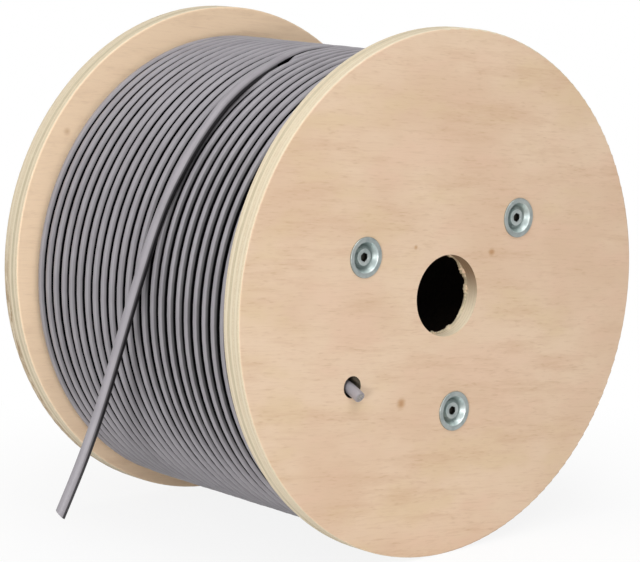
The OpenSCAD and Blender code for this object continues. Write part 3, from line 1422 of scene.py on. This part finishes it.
@dataclass
class CableTail:
    """Free outer end of the cable: it lies slanting over the winding and hangs off it.

    Attributes:
        drum: Sizes of the drum.
        sheath: Material of the sheath.
        cut: Material of the cut end.
        lay_gap: Gap between the winding and the cable that lies over it.
        lay: Direction from the axle in degrees and place along Y in millimetres, over the winding.
        hang: Way past the last of those places and place along Y, both in millimetres.
        steps: Steps of the path from one of those places to the next.
        sides: Points round the cable.
        sheath_wall: Wall of the sheath.
        cut_lean_deg: Lean of the slanting cut.
        cut_tip: Direction in which the cut reaches furthest.
        cord_stride: Points of the path to one point of the cord's route. Not used.
        nest_laid: How the cable lies over the winding, which sets its painted shade.
        nest_free: How it lies at its free end, which sets its painted shade there.
        nest_ends: Shares of the way between which the one turns into the other.
    """

    drum: DrumSizes
    sheath: bpy.types.Material
    cut: bpy.types.Material
    lay_gap: float = 0.6 * MM
    lay: tuple[Band, ...] = (
        (128, -27.6), (133, -28.6), (138, -29.0), (143, -28.9), (148, -28.2), (158, -24.8),
    )
    hang: tuple[Band, ...] = (
        (20, -23.2), (60, -22.6), (105, -23.2), (150, -23.4), (190, -20.4), (231, -14.2),
    )
    steps: int = 8
    sides: int = 20
    sheath_wall: float = 1.3 * MM
    cut_lean_deg: float = 24.0
    cut_tip: tuple[float, float, float] = (0.55, -0.75, -0.35)
    cord_stride: int = 3
    nest_laid: float = 0.56
    nest_free: float = 0.48
    nest_ends: Band = (0.22, 0.5)

    @property
    def lay_r(self) -> float:
        """Radius from the winding's middle of the cable that lies over it."""
        return self.drum.crest_r + self.drum.cable_d / 2.0 + self.lay_gap

    def path(self) -> np.ndarray:
        """Gives the centreline in the drum's frame.

        Returns:
            Its points, in metres.
        """
        laid = smooth(self.lay, self.steps)
        angle = np.radians(laid[:, 0])
        over = outward(angle) * self.lay_r
        over[:, 1] = laid[:, 1] * MM
        hung = smooth(((0.0, self.lay[-1][1]), *self.hang), self.steps)[1:]
        ahead = np.array([-math.sin(angle[-1]), 0.0, math.cos(angle[-1])])
        free = over[-1] + hung[:, :1] * MM * ahead
        free[:, 1] = hung[:, 1] * MM
        return np.concatenate([over, free]) - np.array([0.0, 0.0, self.drum.sag])

    def build(self) -> bpy.types.Object:
        """Returns:
            The piece.
        """
        path = self.path()
        radius = self.drum.cable_d / 2.0
        rings = tube_rings(path, radius, self.sides)
        ahead = path[-1] - path[-2]
        ahead /= np.linalg.norm(ahead)
        lean = math.tan(math.radians(self.cut_lean_deg))
        tip = np.array(self.cut_tip)
        tip -= ahead * (tip @ ahead)
        tip /= np.linalg.norm(tip)
        rings[-1] += ((rings[-1] - path[-1]) @ tip)[:, None] * lean * ahead
        draft = Draft()
        draft.loft(rings, first_cap=True)
        way = path_way(path)
        nest = np.interp(way / way[-1], self.nest_ends, [self.nest_laid, self.nest_free])
        draft.mark_sheath(way, self.sides, radius, nest)
        end_face(draft, rings[-1], path[-1], ahead, radius, self.sheath_wall)
        tail = draft.piece("cable_end", [self.sheath, self.cut])
        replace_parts(tail, "cable_tail")
        return tail


def end_face(
    draft: Draft,
    ring: np.ndarray,
    middle: np.ndarray,
    ahead: np.ndarray,
    radius: float,
    wall: float,
    sink_share: float = 0.35,
    dish_share: float = 0.5,
) -> None:
    """Closes a cut cable: the cut wall of the sheath, and the filling a little below it.

    Args:
        draft: The piece that is being made.
        ring: Last ring of the cable.
        middle: Middle of that ring.
        ahead: Direction of the cable there.
        radius: Radius of the cable.
        wall: Wall of the sheath.
        sink_share: Depth of the filling under the cut, as a share of the wall.
        dish_share: Width of the filling's flat middle, as a share of its own.
    """
    inner_share = (radius - wall) / radius
    inner = middle + (ring - middle) * inner_share
    sunk = inner - ahead * wall * sink_share
    dish = middle + (sunk - middle) * dish_share
    draft.loft(np.array([ring, inner]))
    draft.loft(np.array([inner, sunk, dish]), slot=1, last_cap=True)


@dataclass
class CableStart:
    """Inner end of the cable, which leans out of its hole in the front flange.

    Attributes:
        drum: Sizes of the drum.
        sheath: Material of the sheath.
        cut: Material of the cut end.
        lean_deg: Lean of the cable down from the axle's direction.
        nest: How it lies, freer than the free end.
        bow: How far it bows up on its way.
        steps: Rings along it.
        sides: Points round it.
        sheath_wall: Wall of the sheath.
        end_share: Width of its end, as a share of its own.
    """

    drum: DrumSizes
    sheath: bpy.types.Material
    cut: bpy.types.Material
    lean_deg: float = 19.57
    nest: float = -0.8
    bow: float = 0.9 * MM
    steps: int = 14
    sides: int = 24
    sheath_wall: float = 1.3 * MM
    end_share: float = 0.95

    def build(self) -> bpy.types.Object:
        """Makes the inner end along the middle of its solid.

        Returns:
            The piece.
        """
        low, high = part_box("cable_start")
        radius = self.drum.cable_d / 2.0
        lean = math.radians(self.lean_deg)
        tilt = radius / math.cos(lean)
        start = np.array([(low[0] + high[0]) / 2.0, -self.drum.inner_y, high[2] - tilt])
        reach = (-self.drum.inner_y - low[1] - radius * math.sin(lean)) / math.cos(lean)
        ahead = np.array([0.0, -math.cos(lean), -math.sin(lean)])
        share = np.linspace(0.0, 1.0, self.steps)[:, None]
        path = start + ahead * reach * share
        # Four times this product is 1 in the middle of the way.
        path[:, 2] += self.bow * 4.0 * (share * (1.0 - share))[:, 0]
        rings = tube_rings(path, radius, self.sides)
        rings[0, :, 1] = -self.drum.inner_y
        rings[-1] = path[-1] + (rings[-1] - path[-1]) * self.end_share
        draft = Draft()
        draft.loft(rings, first_cap=True)
        draft.mark_sheath(path_way(path), self.sides, radius, self.nest)
        end_face(draft, rings[-1], path[-1], ahead, radius, self.sheath_wall)
        made = draft.piece("inner_cable_end", [self.sheath, self.cut])
        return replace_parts(made, "cable_start")


@dataclass
class WoundCable:
    """The winding: its two outer layers as one cable on a plain core, and the rise of the free end.

    Attributes:
        drum: Sizes of the drum.
        tail: The free end that comes up out of the winding.
        sheath: Material of the sheath.
        turns: Turns of a layer.
        start_deg: Direction in which the outer layer starts at the front flange.
        layer_drop: Drop from a layer to the one under it.
        climb_deg: Way round in which the cable climbs from one layer to the next.
        dive_deg: Way round in which the outer layer ends under its last turn.
        rise: Direction in degrees, and height over the layer and place along Y in millimetres, of the
            free end's start.
        rise_steps: Steps of its path from one of those places to the next.
        part_width: Way that the turns beside the free end's start give way.
        part_reach: Number of turns over which that fades.
        part_open_deg: Directions between which the turns start to give way.
        part_close_deg: Directions between which the turns to the front close up again.
        part_shut_deg: Directions between which the turns to the rear close up again.
        press_share: Share of the cable's thickness that a turn under the free end gives way.
        rings_per_turn: Rings of a turn.
        leg_rings: Least number of rings of a leg of the route.
        sides: Points round the cable.
        wander: How far the turns wander along Y.
        sway: Strength, waves to a radian and start, of each wave in which they wander.
        sink: How far the turns sink in.
        dip: Waves to a radian and start, of the two waves in which they sink in.
        core_r: Radius of the bore under the winding.
        core_drop: Drop from the lower layer's cable to the plain core.
        core_segments: Points round the core.
    """

    drum: DrumSizes
    tail: CableTail
    sheath: bpy.types.Material
    turns: int = 24
    start_deg: float = -78.6
    layer_drop: float = 7.6 * MM
    climb_deg: float = 70.0
    dive_deg: float = 45.0
    rise: tuple[tuple[float, float, float], ...] = (
        (20, -7.6, -2.3), (40, -5.0, -1.8), (56, -1.5, -1.3), (68, 0.0, -1.0), (78, 0.0, -0.7),
        (84, 0.0, -0.6), (90, 0.1, -1.0), (94, 0.5, -2.6), (98, 1.2, -5.5), (102, 2.0, -9.2),
        (106, 3.0, -13.2), (110, 4.2, -17.0), (114, 5.5, -20.5), (118, 6.9, -23.5),
        (122, 8.1, -25.8), (126, 8.9, -27.3), (128, 9.1, -27.6),
    )
    rise_steps: int = 6
    part_width: float = 3.0 * MM
    part_reach: float = 2.5
    part_open_deg: Band = (30.0, 58.0)
    part_close_deg: Band = (90.0, 104.0)
    part_shut_deg: Band = (88.0, 99.0)
    press_share: float = 0.9
    rings_per_turn: int = 96
    leg_rings: int = 8
    sides: int = 16
    wander: float = 0.3 * MM
    sway: tuple[tuple[float, float, float], ...] = (
        (1.0, 0.37, 1.3), (0.6, 1.131, 0.4), (0.4, 2.713, 0.0),
    )
    sink: float = 0.25 * MM
    dip: tuple[Band, Band] = ((0.731, 2.1), (1.57, 0.0))
    core_r: float = 100.3 * MM
    core_drop: float = 2.4 * MM
    core_segments: int = 128

    @property
    def layer_r(self) -> float:
        """Radius of the outer layer's cable from the winding's middle."""
        return self.drum.crest_r - self.drum.cable_d / 2.0

    @property
    def side_y(self) -> float:
        """Place along Y of a turn that touches a flange."""
        return self.drum.half_w - self.drum.cable_d / 2.0

    @property
    def pitch(self) -> float:
        """Way along Y from a turn to the next."""
        return 2.0 * self.side_y / self.turns

    def route(self) -> np.ndarray:
        """Lays the lower layer to the front, a climb, the outer layer to the rear, and a dive at its end.

        Returns:
            Angle in radians, radius, place along Y and nesting, of each ring.
        """
        under_r = self.layer_r - self.layer_drop
        start = math.radians(self.start_deg)
        climb = math.radians(self.climb_deg)
        dive = math.radians(self.dive_deg)
        layer = self.turns * TURN
        dive_y = self.side_y - self.pitch * dive / TURN
        # The lower layer takes Nest.UNDER, which paints it dark all over, as shade.
        beside, under = Nest.BESIDE.value, Nest.UNDER.value
        stops = np.array(
            [
                [start - climb - layer, under_r, self.side_y, under],
                [start - climb, under_r, -self.side_y, under],
                [start, self.layer_r, -self.side_y, beside],
                [start + layer - dive, self.layer_r, dive_y, beside],
                [start + layer, under_r, self.side_y, under],
            ]
        )
        legs = []
        for a, b in zip(stops[:-1], stops[1:]):
            count = max(self.leg_rings, round((b[0] - a[0]) / TURN * self.rings_per_turn))
            share = np.arange(count)[:, None] / count
            leg = a + (b - a) * share
            if a[1] != b[1]:
                leg[:, 1:] = a[1:] + (b - a)[1:] * eased(share)
            legs.append(leg)
        legs.append(stops[-1:])
        return self.loosen(np.concatenate(legs))

    def loosen(self, route: np.ndarray) -> np.ndarray:
        """Lets the turns wander a little and give way to the free end, less so at the flanges.

        Args:
            route: Angle, radius, place along Y and nesting of each ring.

        Returns:
            The same, changed.
        """
        angle, place = route[:, 0], route[:, 2]
        free = np.clip((self.side_y - np.abs(place)) / self.drum.cable_d, 0.0, 1.0)
        sway = sum(strength * np.sin(waves * angle + start) for strength, waves, start in self.sway)
        sway /= sum(strength for strength, _, _ in self.sway)
        dip = 0.5 + 0.5 * np.prod([np.sin(waves * angle + start) for waves, start in self.dip], axis=0)
        made = route.copy()
        made[:, 2] += free * self.wander * sway + self.parting(angle, place)
        made[:, 1] -= free * self.sink * dip + self.pressing(angle, made[:, 2])
        return made

    def pressing(self, angle: np.ndarray, place: np.ndarray) -> np.ndarray:
        """Gives how far the turns are pressed down where the rising free end crosses them.

        Args:
            angle: Angle of each ring.
            place: Place along Y of each ring.

        Returns:
            The drop of the radius.
        """
        rows = smooth([row for row in self.rise if row[1] >= 0.0], self.rise_steps)
        degrees = np.degrees(angle) % 360.0
        line = np.interp(degrees, rows[:, 0], rows[:, 2], left=math.inf, right=math.inf) * MM
        lift = np.interp(degrees, rows[:, 0], rows[:, 1]) * MM
        reach = self.drum.cable_d * self.press_share
        apart = np.minimum(np.abs(place - line), reach)
        room = np.sqrt(reach**2 - apart**2)
        # The smoothed lift dips a little below 0, which must not press turns away from the free end.
        return np.where(room > 0.0, np.maximum(room - lift, 0.0), 0.0)

    def parting(self, angle: np.ndarray, place: np.ndarray) -> np.ndarray:
        """Gives how far the turns stand aside where the free end comes up between two of them.

        Args:
            angle: Angle of each ring.
            place: Place along Y of each ring.

        Returns:
            The way along Y.
        """
        degrees = np.degrees(angle) % 360.0
        bed = np.array([row for row in self.rise if row[1] <= 0.0])
        first, last = bed[0], bed[-1]
        line = (first[2] + (last[2] - first[2]) * (degrees - first[0]) / (last[0] - first[0])) * MM
        apart = place - line
        ramp = [0.0, 1.0, 1.0, 0.0]
        to_front = np.interp(degrees, [*self.part_open_deg, *self.part_close_deg], ramp)
        to_rear = np.interp(degrees, [*self.part_open_deg, *self.part_shut_deg], ramp)
        opening = eased(np.where(apart < 0.0, to_front, to_rear))
        fade = np.clip(1.0 - (np.abs(apart) / self.pitch - 0.5) / self.part_reach, 0.0, 1.0)
        return np.sign(apart) * self.part_width * opening * fade

    def rise_route(self) -> np.ndarray:
        """Lays the start of the free end, from under the outer layer up to where it lies over it.

        Returns:
            Angle in radians, radius, place along Y and nesting, of each ring.
        """
        rows = smooth(self.rise, self.rise_steps)
        lift = rows[:, 1] * MM
        reach = self.tail.lay_r - self.layer_r
        nest = np.clip(1.0 - lift / reach, self.tail.nest_laid, Nest.UNDER.value)
        return np.stack([np.radians(rows[:, 0]), self.layer_r + lift, rows[:, 2] * MM, nest], axis=-1)

    def lay_cable(self, draft: Draft, route: np.ndarray, ends_at: float | None = None) -> None:
        """Adds the cable along a route.

        Args:
            draft: The piece that is being made.
            route: Angle, radius, place along Y and nesting of each ring.
            ends_at: Way along the cable at the route's end, where it matters.
        """
        cable_r = self.drum.cable_d / 2.0
        path = outward(route[:, 0]) * route[:, 1:2] - np.array([0.0, 0.0, self.drum.sag])
        path[:, 1] = route[:, 2]
        way = path_way(path)
        if ends_at is not None:
            way += ends_at - way[-1]
        draft.loft(tube_rings(path, cable_r, self.sides), first_cap=True, last_cap=True)
        draft.mark_sheath(way, self.sides, cable_r, route[:, 3])

    def build(self) -> bpy.types.Object:
        """Makes the winding.

        Returns:
            The piece.
        """
        draft = Draft()
        self.lay_cable(draft, self.route())
        self.lay_cable(draft, self.rise_route(), 0.0)
        plain_r = self.layer_r - self.layer_drop - self.core_drop
        half = self.drum.half_w
        axle = Vector((0.0, 0.0, 0.0))
        middle = Vector((0.0, 0.0, -self.drum.sag))
        count = self.core_segments
        bore = turned_rings([(self.core_r, -half), (self.core_r, half)], axle, Side.REAR, count)
        outside = turned_rings([(plain_r, half), (plain_r, -half)], middle, Side.REAR, count)
        rings = np.concatenate([bore, outside])
        draft.loft(rings, closed=True)
        # The plain core takes Nest.UNDER, which paints it dark all over, as shade.
        draft.mark_sheath(np.zeros(len(rings)), count, 0.0, Nest.UNDER.value)
        made = draft.piece("wound_cable", [self.sheath], sharp_deg=60.0)
        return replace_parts(made, "cable_winding")


@dataclass
class Flanges:
    """The two plywood flanges, with the torn fibres round the inner edge of each spindle hole.

    Attributes:
        drum: Sizes of the drum.
        plywood: Their material.
        chip_depth: Depth of the torn fibres in the board, from its inner face.
        tear_segments: Points round the hole.
        tear_depth: How far the fibres reach into the hole at most.
        tear_height: How far they reach along it at most.
        tear_chips: Number of coarse chips round the hole.
        clumps: Waves round the hole and start, of each wave in which the fibres clump.
        clump_least: Least strength of a clump.
        fine_power: How much rarer long fibres are than short ones.
        fine_share: Share of the single fibres in the depth. The chips have the rest.
        height_least: Least share of the height.
        profile: Shares of the depth and of the height, round the section of the fibres.
        seed: Seed of the random draws.
    """

    drum: DrumSizes
    plywood: bpy.types.Material
    chip_depth: float = 5.0 * MM
    tear_segments: int = 260
    tear_depth: float = 4.4 * MM
    tear_height: float = 3.4 * MM
    tear_chips: int = 78
    clumps: tuple[tuple[int, float], ...] = ((3, 0.7), (11, 2.0))
    clump_least: float = 0.2
    fine_power: float = 1.4
    fine_share: float = 0.35
    height_least: float = 0.4
    profile: tuple[Band, ...] = ((0.0, 1.0), (0.6, 0.7), (1.0, 0.15), (0.9, 0.0), (0.0, 0.0))
    seed: int = 7

    def build(self) -> None:
        """Dresses the flanges and adds the torn fibres."""
        for name in ("front_flange", "rear_flange"):
            dress(name, self.plywood)
        for side in Side:
            self.torn_edge(side)

    def torn_edge(self, side: Side) -> bpy.types.Object:
        """Makes the ragged ring of fibres that the saw left inside a spindle hole.

        Args:
            side: The end of the drum.

        Returns:
            The piece.
        """
        draw = np.random.default_rng(self.seed + int(side.value))
        count = self.tear_segments
        angle = round_angles(count)
        waves = sum(np.sin(number * angle + start) for number, start in self.clumps)
        clump = np.clip(0.5 + 0.5 * waves / len(self.clumps), self.clump_least, 1.0)
        fine = draw.random(count) ** self.fine_power
        chips = np.resize(draw.random(self.tear_chips), self.tear_chips + 1)
        coarse = np.interp(angle, np.linspace(0.0, TURN, self.tear_chips + 1), chips)
        depth = self.tear_depth * clump * (self.fine_share * fine + (1.0 - self.fine_share) * coarse)
        height = self.height_least + (1.0 - self.height_least) * draw.random(count)
        height *= self.tear_height
        edge_y = self.drum.inner_y + self.chip_depth
        rings = []
        for depth_share, height_share in self.profile:
            ring = outward(angle) * (self.drum.bore_r - depth * depth_share)[:, None]
            ring[:, 1] = side.value * (edge_y + height * height_share)
            rings.append(ring)
        draft = Draft()
        draft.loft(np.array(rings), closed=True)
        name = f"torn_fibres_{side.name.lower()}"
        return draft.piece(name, [self.plywood], sharp_deg=70.0)


def dress(node: str, material: bpy.types.Material) -> None:
    """Gives a solid of the frame its finish.

    Args:
        node: Name of the node.
        material: Its material.
    """
    data = frame["nodes"][node].data
    data.materials.clear()
    data.materials.append(material)
    log.info("%s: dressed", node)


@dataclass
class TieBolts:
    """The tie bolts with their dished washers and nuts.

    Attributes:
        drum: Sizes of the drum.
        zinc: Their material.
        sheet: Sheet thickness of the washers.
        mouth_r: Radius of a washer's dish at its mouth.
        floor_r: Radius of the dish at its floor.
        drop: Depth of the dish under the rim's top.
        head_sink: Depth of the head's top under the rim's top.
        hole_r: Radius of the hole in a washer.
        shank_r: Radius of a bolt's shank.
        head_r: Radius of a bolt's head.
        socket_w: Width across the flats of the socket.
        socket_depth: Depth of the socket.
        nut_w: Width across the flats of a nut.
        nut_h: Height of a nut.
        proud: How far a bolt stands out of its nut.
        hole_ease: Rounding of the edges of a washer's hole.
        floor_ease: Rounding between the dish's floor and its wall.
        mouth_ease: Rounding of the dish's mouth.
        rim_ease: Rounding of the rim's outer edge.
        foot_ease: Rounding of that edge on the wood.
        back_ease: Roundings on the back of the mouth and of the floor.
        ease_steps: Steps of each rounding.
        rim_painted_shade: How dark the rim is painted, as shade.
        floor_painted_shade: How dark the dish is painted low down, as shade.
        floor_share: Share of the dish's depth that counts as low down.
        socket_steps: Depths in the socket at which its painted shade changes.
        socket_painted_shade: How dark the socket is painted, as shade, at its floor and at those depths.
        lip_share: Width of the socket's lip, as a share of that of the socket.
        head_edge: Ways in from the head's side and down from its top, round its upper edge.
        head_painted_shade: How dark the head's top is painted, as shade.
        knurls: Number of knurls on a head.
        knurl_points: Points round the bolt to a knurl.
        knurl_depth: Depth of the knurls.
        knurl_ends: Ends of the knurls, down from the head's top and up from its foot.
        neck: Rounding under the head, out from the shank and along it.
        thread_pitch: Pitch of the thread.
        thread_depth: Depth of the thread.
        thread_turns: Number of its turns.
        nut_ease_share: Width of a nut's round end, as a share of its flats.
        nut_slope: Slope of the eased corners, out for each step up.
        nut_steps: Heights over a nut's end at which its sides have rings.
        nut_chamfer: Chamfer of a nut's hole.
        count: Number of bolts.
        segments: Points round a washer and a nut.
    """

    drum: DrumSizes
    zinc: bpy.types.Material
    sheet: float = 1.2 * MM
    mouth_r: float = 11.6 * MM
    floor_r: float = 8.1 * MM
    drop: float = 7.0 * MM
    head_sink: float = 2.5 * MM
    hole_r: float = 4.1 * MM
    shank_r: float = 4.0 * MM
    head_r: float = 6.5 * MM
    socket_w: float = 6.0 * MM
    socket_depth: float = 2.5 * MM
    nut_w: float = 13.0 * MM
    nut_h: float = 5.0 * MM
    proud: float = 1.0 * MM
    hole_ease: float = 0.15 * MM
    floor_ease: float = 4.4 * MM
    mouth_ease: float = 1.8 * MM
    rim_ease: float = 0.8 * MM
    foot_ease: float = 0.1 * MM
    back_ease: Band = (0.6 * MM, 1.2 * MM)
    ease_steps: int = 8
    rim_painted_shade: float = 0.32
    floor_painted_shade: float = 0.25
    floor_share: float = 0.3
    socket_steps: Band = (1.2 * MM, 0.35 * MM)
    socket_painted_shade: tuple[float, float, float] = (1.0, 0.95, 0.6)
    lip_share: float = 1.2
    head_edge: tuple[Band, ...] = ((0.9 * MM, 0.0), (0.35 * MM, 0.2 * MM), (0.14 * MM, 0.7 * MM))
    head_painted_shade: float = 0.25
    knurls: int = 36
    knurl_points: int = 4
    knurl_depth: float = 0.14 * MM
    knurl_ends: Band = (1.0 * MM, 0.5 * MM)
    neck: Band = (0.3 * MM, 0.4 * MM)
    thread_pitch: float = 1.25 * MM
    thread_depth: float = 0.6 * MM
    thread_turns: int = 9
    nut_ease_share: float = 0.97
    nut_slope: float = 1.7
    nut_steps: tuple[float, ...] = (0.0, 0.25 * MM, 0.5 * MM, 0.8 * MM, 1.1 * MM)
    nut_chamfer: float = 0.5 * MM
    count: int = 3
    segments: int = 72

    @property
    def seat(self) -> float:
        """Height of a dish's floor from the drum's middle, on which the heads and nuts sit."""
        return self.drum.face_y + self.sheet - self.drop

    def build(self) -> None:
        """Makes every bolt with its washers and its nut."""
        for number in range(1, self.count + 1):
            low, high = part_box(f"tie_bolt_{number}")
            x = (low[0] + high[0]) / 2.0
            z = (low[2] + high[2]) / 2.0
            for side in Side:
                self.washer(side, number, Vector((x, side.value * self.drum.face_y, z)))
            self.bolt(number, x, z)
            self.nut(number, x, z)

    def washer(self, side: Side, number: int, middle: Vector) -> bpy.types.Object:
        """Makes a pressed washer with a rolled rim and a smooth dish.

        Args:
            side: The end of the drum.
            number: Number of its bolt.
            middle: Its middle on the wood.

        Returns:
            The piece.
        """
        node = f"{side.name.lower()}_washer_{number}"
        low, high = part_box(node)
        rim_r = (high[0] - low[0]) / 2.0
        floor = self.sheet - self.drop
        wall = self.sheet * math.hypot(1.0, (self.mouth_r - self.floor_r) / self.drop)
        outline = rounded(
            [
                (self.hole_r, floor, self.hole_ease),
                (self.floor_r, floor, self.floor_ease),
                (self.mouth_r, self.sheet, self.mouth_ease),
                (rim_r, self.sheet, self.rim_ease),
                (rim_r, 0.0, self.foot_ease),
                (self.mouth_r + wall, 0.0, self.back_ease[0]),
                (self.floor_r + wall, floor - self.sheet, self.back_ease[1]),
                (self.hole_r, floor - self.sheet, self.hole_ease),
            ],
            self.ease_steps,
        )
        draft = Draft()
        draft.loft(turned_rings(outline, middle, side, self.segments), closed=True)
        radii, heights = np.array(outline).T
        # Painted shade on the rim and low down in the dish.
        painted_shade = np.where(radii > self.mouth_r, self.rim_painted_shade, 0.0)
        painted_shade[heights < floor + self.floor_share * self.drop] = self.floor_painted_shade
        draft.mark_painted_shade(painted_shade)
        name = f"dished_washer_{side.name.lower()}_{number}"
        made = draft.piece(name, [self.zinc], sharp_deg=50.0)
        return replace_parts(made, node)

    def bolt(self, number: int, x: float, z: float) -> bpy.types.Object:
        """Makes a socket head bolt with its knurled head and the thread at its end.

        Args:
            number: Number of the bolt.
            x: Place of its axis along X.
            z: Place of its axis along Z.

        Returns:
            The piece.
        """
        segments = self.knurls * self.knurl_points
        top = self.drum.face_y + self.sheet - self.head_sink
        end = -(self.seat + self.nut_h + self.proud)
        socket = hexagon(self.socket_w, segments)
        wave = np.cos(round_angles(segments) * self.knurls)
        knurled = self.head_r - self.knurl_depth * (0.5 + 0.5 * wave)
        loops: list[tuple[float | np.ndarray, float]] = [
            *((socket, top - depth) for depth in (self.socket_depth, *self.socket_steps)),
            (self.socket_w / 2.0 * self.lip_share, top),
            *((self.head_r - inward, top - down) for inward, down in self.head_edge),
            (knurled, top - self.knurl_ends[0]),
            (knurled, self.seat + self.knurl_ends[1]),
            (self.head_r - self.knurl_depth, self.seat),
            (self.shank_r + self.neck[0], self.seat),
            (self.shank_r, self.seat - self.neck[1]),
        ]
        step = self.thread_pitch / 2.0
        for turn in range(2 * self.thread_turns, 0, -1):
            depth = self.thread_depth if turn % 2 else 0.0
            loops.append((self.shank_r - depth, end + turn * step))
        loops.append((self.shank_r - self.thread_depth, end))
        rings = turned_rings(loops, Vector((x, 0.0, z)), Side.FRONT, segments, self.bolt_deg(x, z))
        draft = Draft()
        draft.loft(rings, first_cap=True, last_cap=True)
        # Painted shade in the socket and on the head's flat top.
        # After the socket come its lip and the edge of the head's flat top.
        lip = len(self.socket_painted_shade)
        painted_shade = np.zeros(len(loops))
        painted_shade[:lip] = self.socket_painted_shade
        painted_shade[lip : lip + 2] = self.head_painted_shade
        draft.mark_painted_shade(painted_shade)
        made = draft.piece(f"socket_bolt_{number}", [self.zinc], sharp_deg=35.0)
        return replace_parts(made, f"tie_bolt_{number}")

    def nut(self, number: int, x: float, z: float) -> bpy.types.Object:
        """Makes a hexagon nut with its corners eased off.

        Args:
            number: Number of its bolt.
            x: Place of its axis along X.
            z: Place of its axis along Z.

        Returns:
            The piece.
        """
        six = hexagon(self.nut_w, self.segments)
        end_r = self.nut_w / 2.0 * self.nut_ease_share
        lower = [(np.minimum(six, end_r + self.nut_slope * height), height) for height in self.nut_steps]
        upper = [(radii, self.nut_h - height) for radii, height in reversed(lower)]
        loops = [
            (self.hole_r + self.nut_chamfer, 0.0),
            *lower,
            *upper,
            (self.hole_r + self.nut_chamfer, self.nut_h),
            (self.hole_r, self.nut_h - self.nut_chamfer),
            (self.hole_r, self.nut_chamfer),
        ]
        middle = Vector((x, self.seat, z))
        rings = turned_rings(loops, middle, Side.REAR, self.segments, self.bolt_deg(x, z))
        draft = Draft()
        draft.loft(rings, closed=True)
        made = draft.piece(f"hexagon_nut_{number}", [self.zinc], sharp_deg=25.0)
        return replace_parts(made, f"rear_nut_{number}")

    @staticmethod
    def bolt_deg(x: float, z: float) -> float:
        """Gives the direction of a bolt from the axle, in degrees."""
        return math.degrees(math.atan2(z, x))


def main() -> None:
    """Builds the drum piece by piece."""
    bpy.context.scene.view_settings.view_transform = "Standard"
    PhotoCamera().build()
    drum = DrumSizes.from_frame()
    sheath = SheathFinish().material()
    cut = CutFinish().material()
    tail = CableTail(drum, sheath, cut)
    tail.build()
    WoundCable(drum, tail, sheath).build()
    CableStart(drum, sheath, cut).build()
    plywood = PlywoodFinish(inner_y=drum.inner_y, board=drum.face_y - drum.inner_y)
    Flanges(drum, plywood.material()).build()
    dress("core_tube", BoardFinish().material())
    TieBolts(drum, ZincFinish().material()).build()
    Studio(floor_z=CAD_BOX[0][2]).build()


if __name__ == "__main__":
    main()
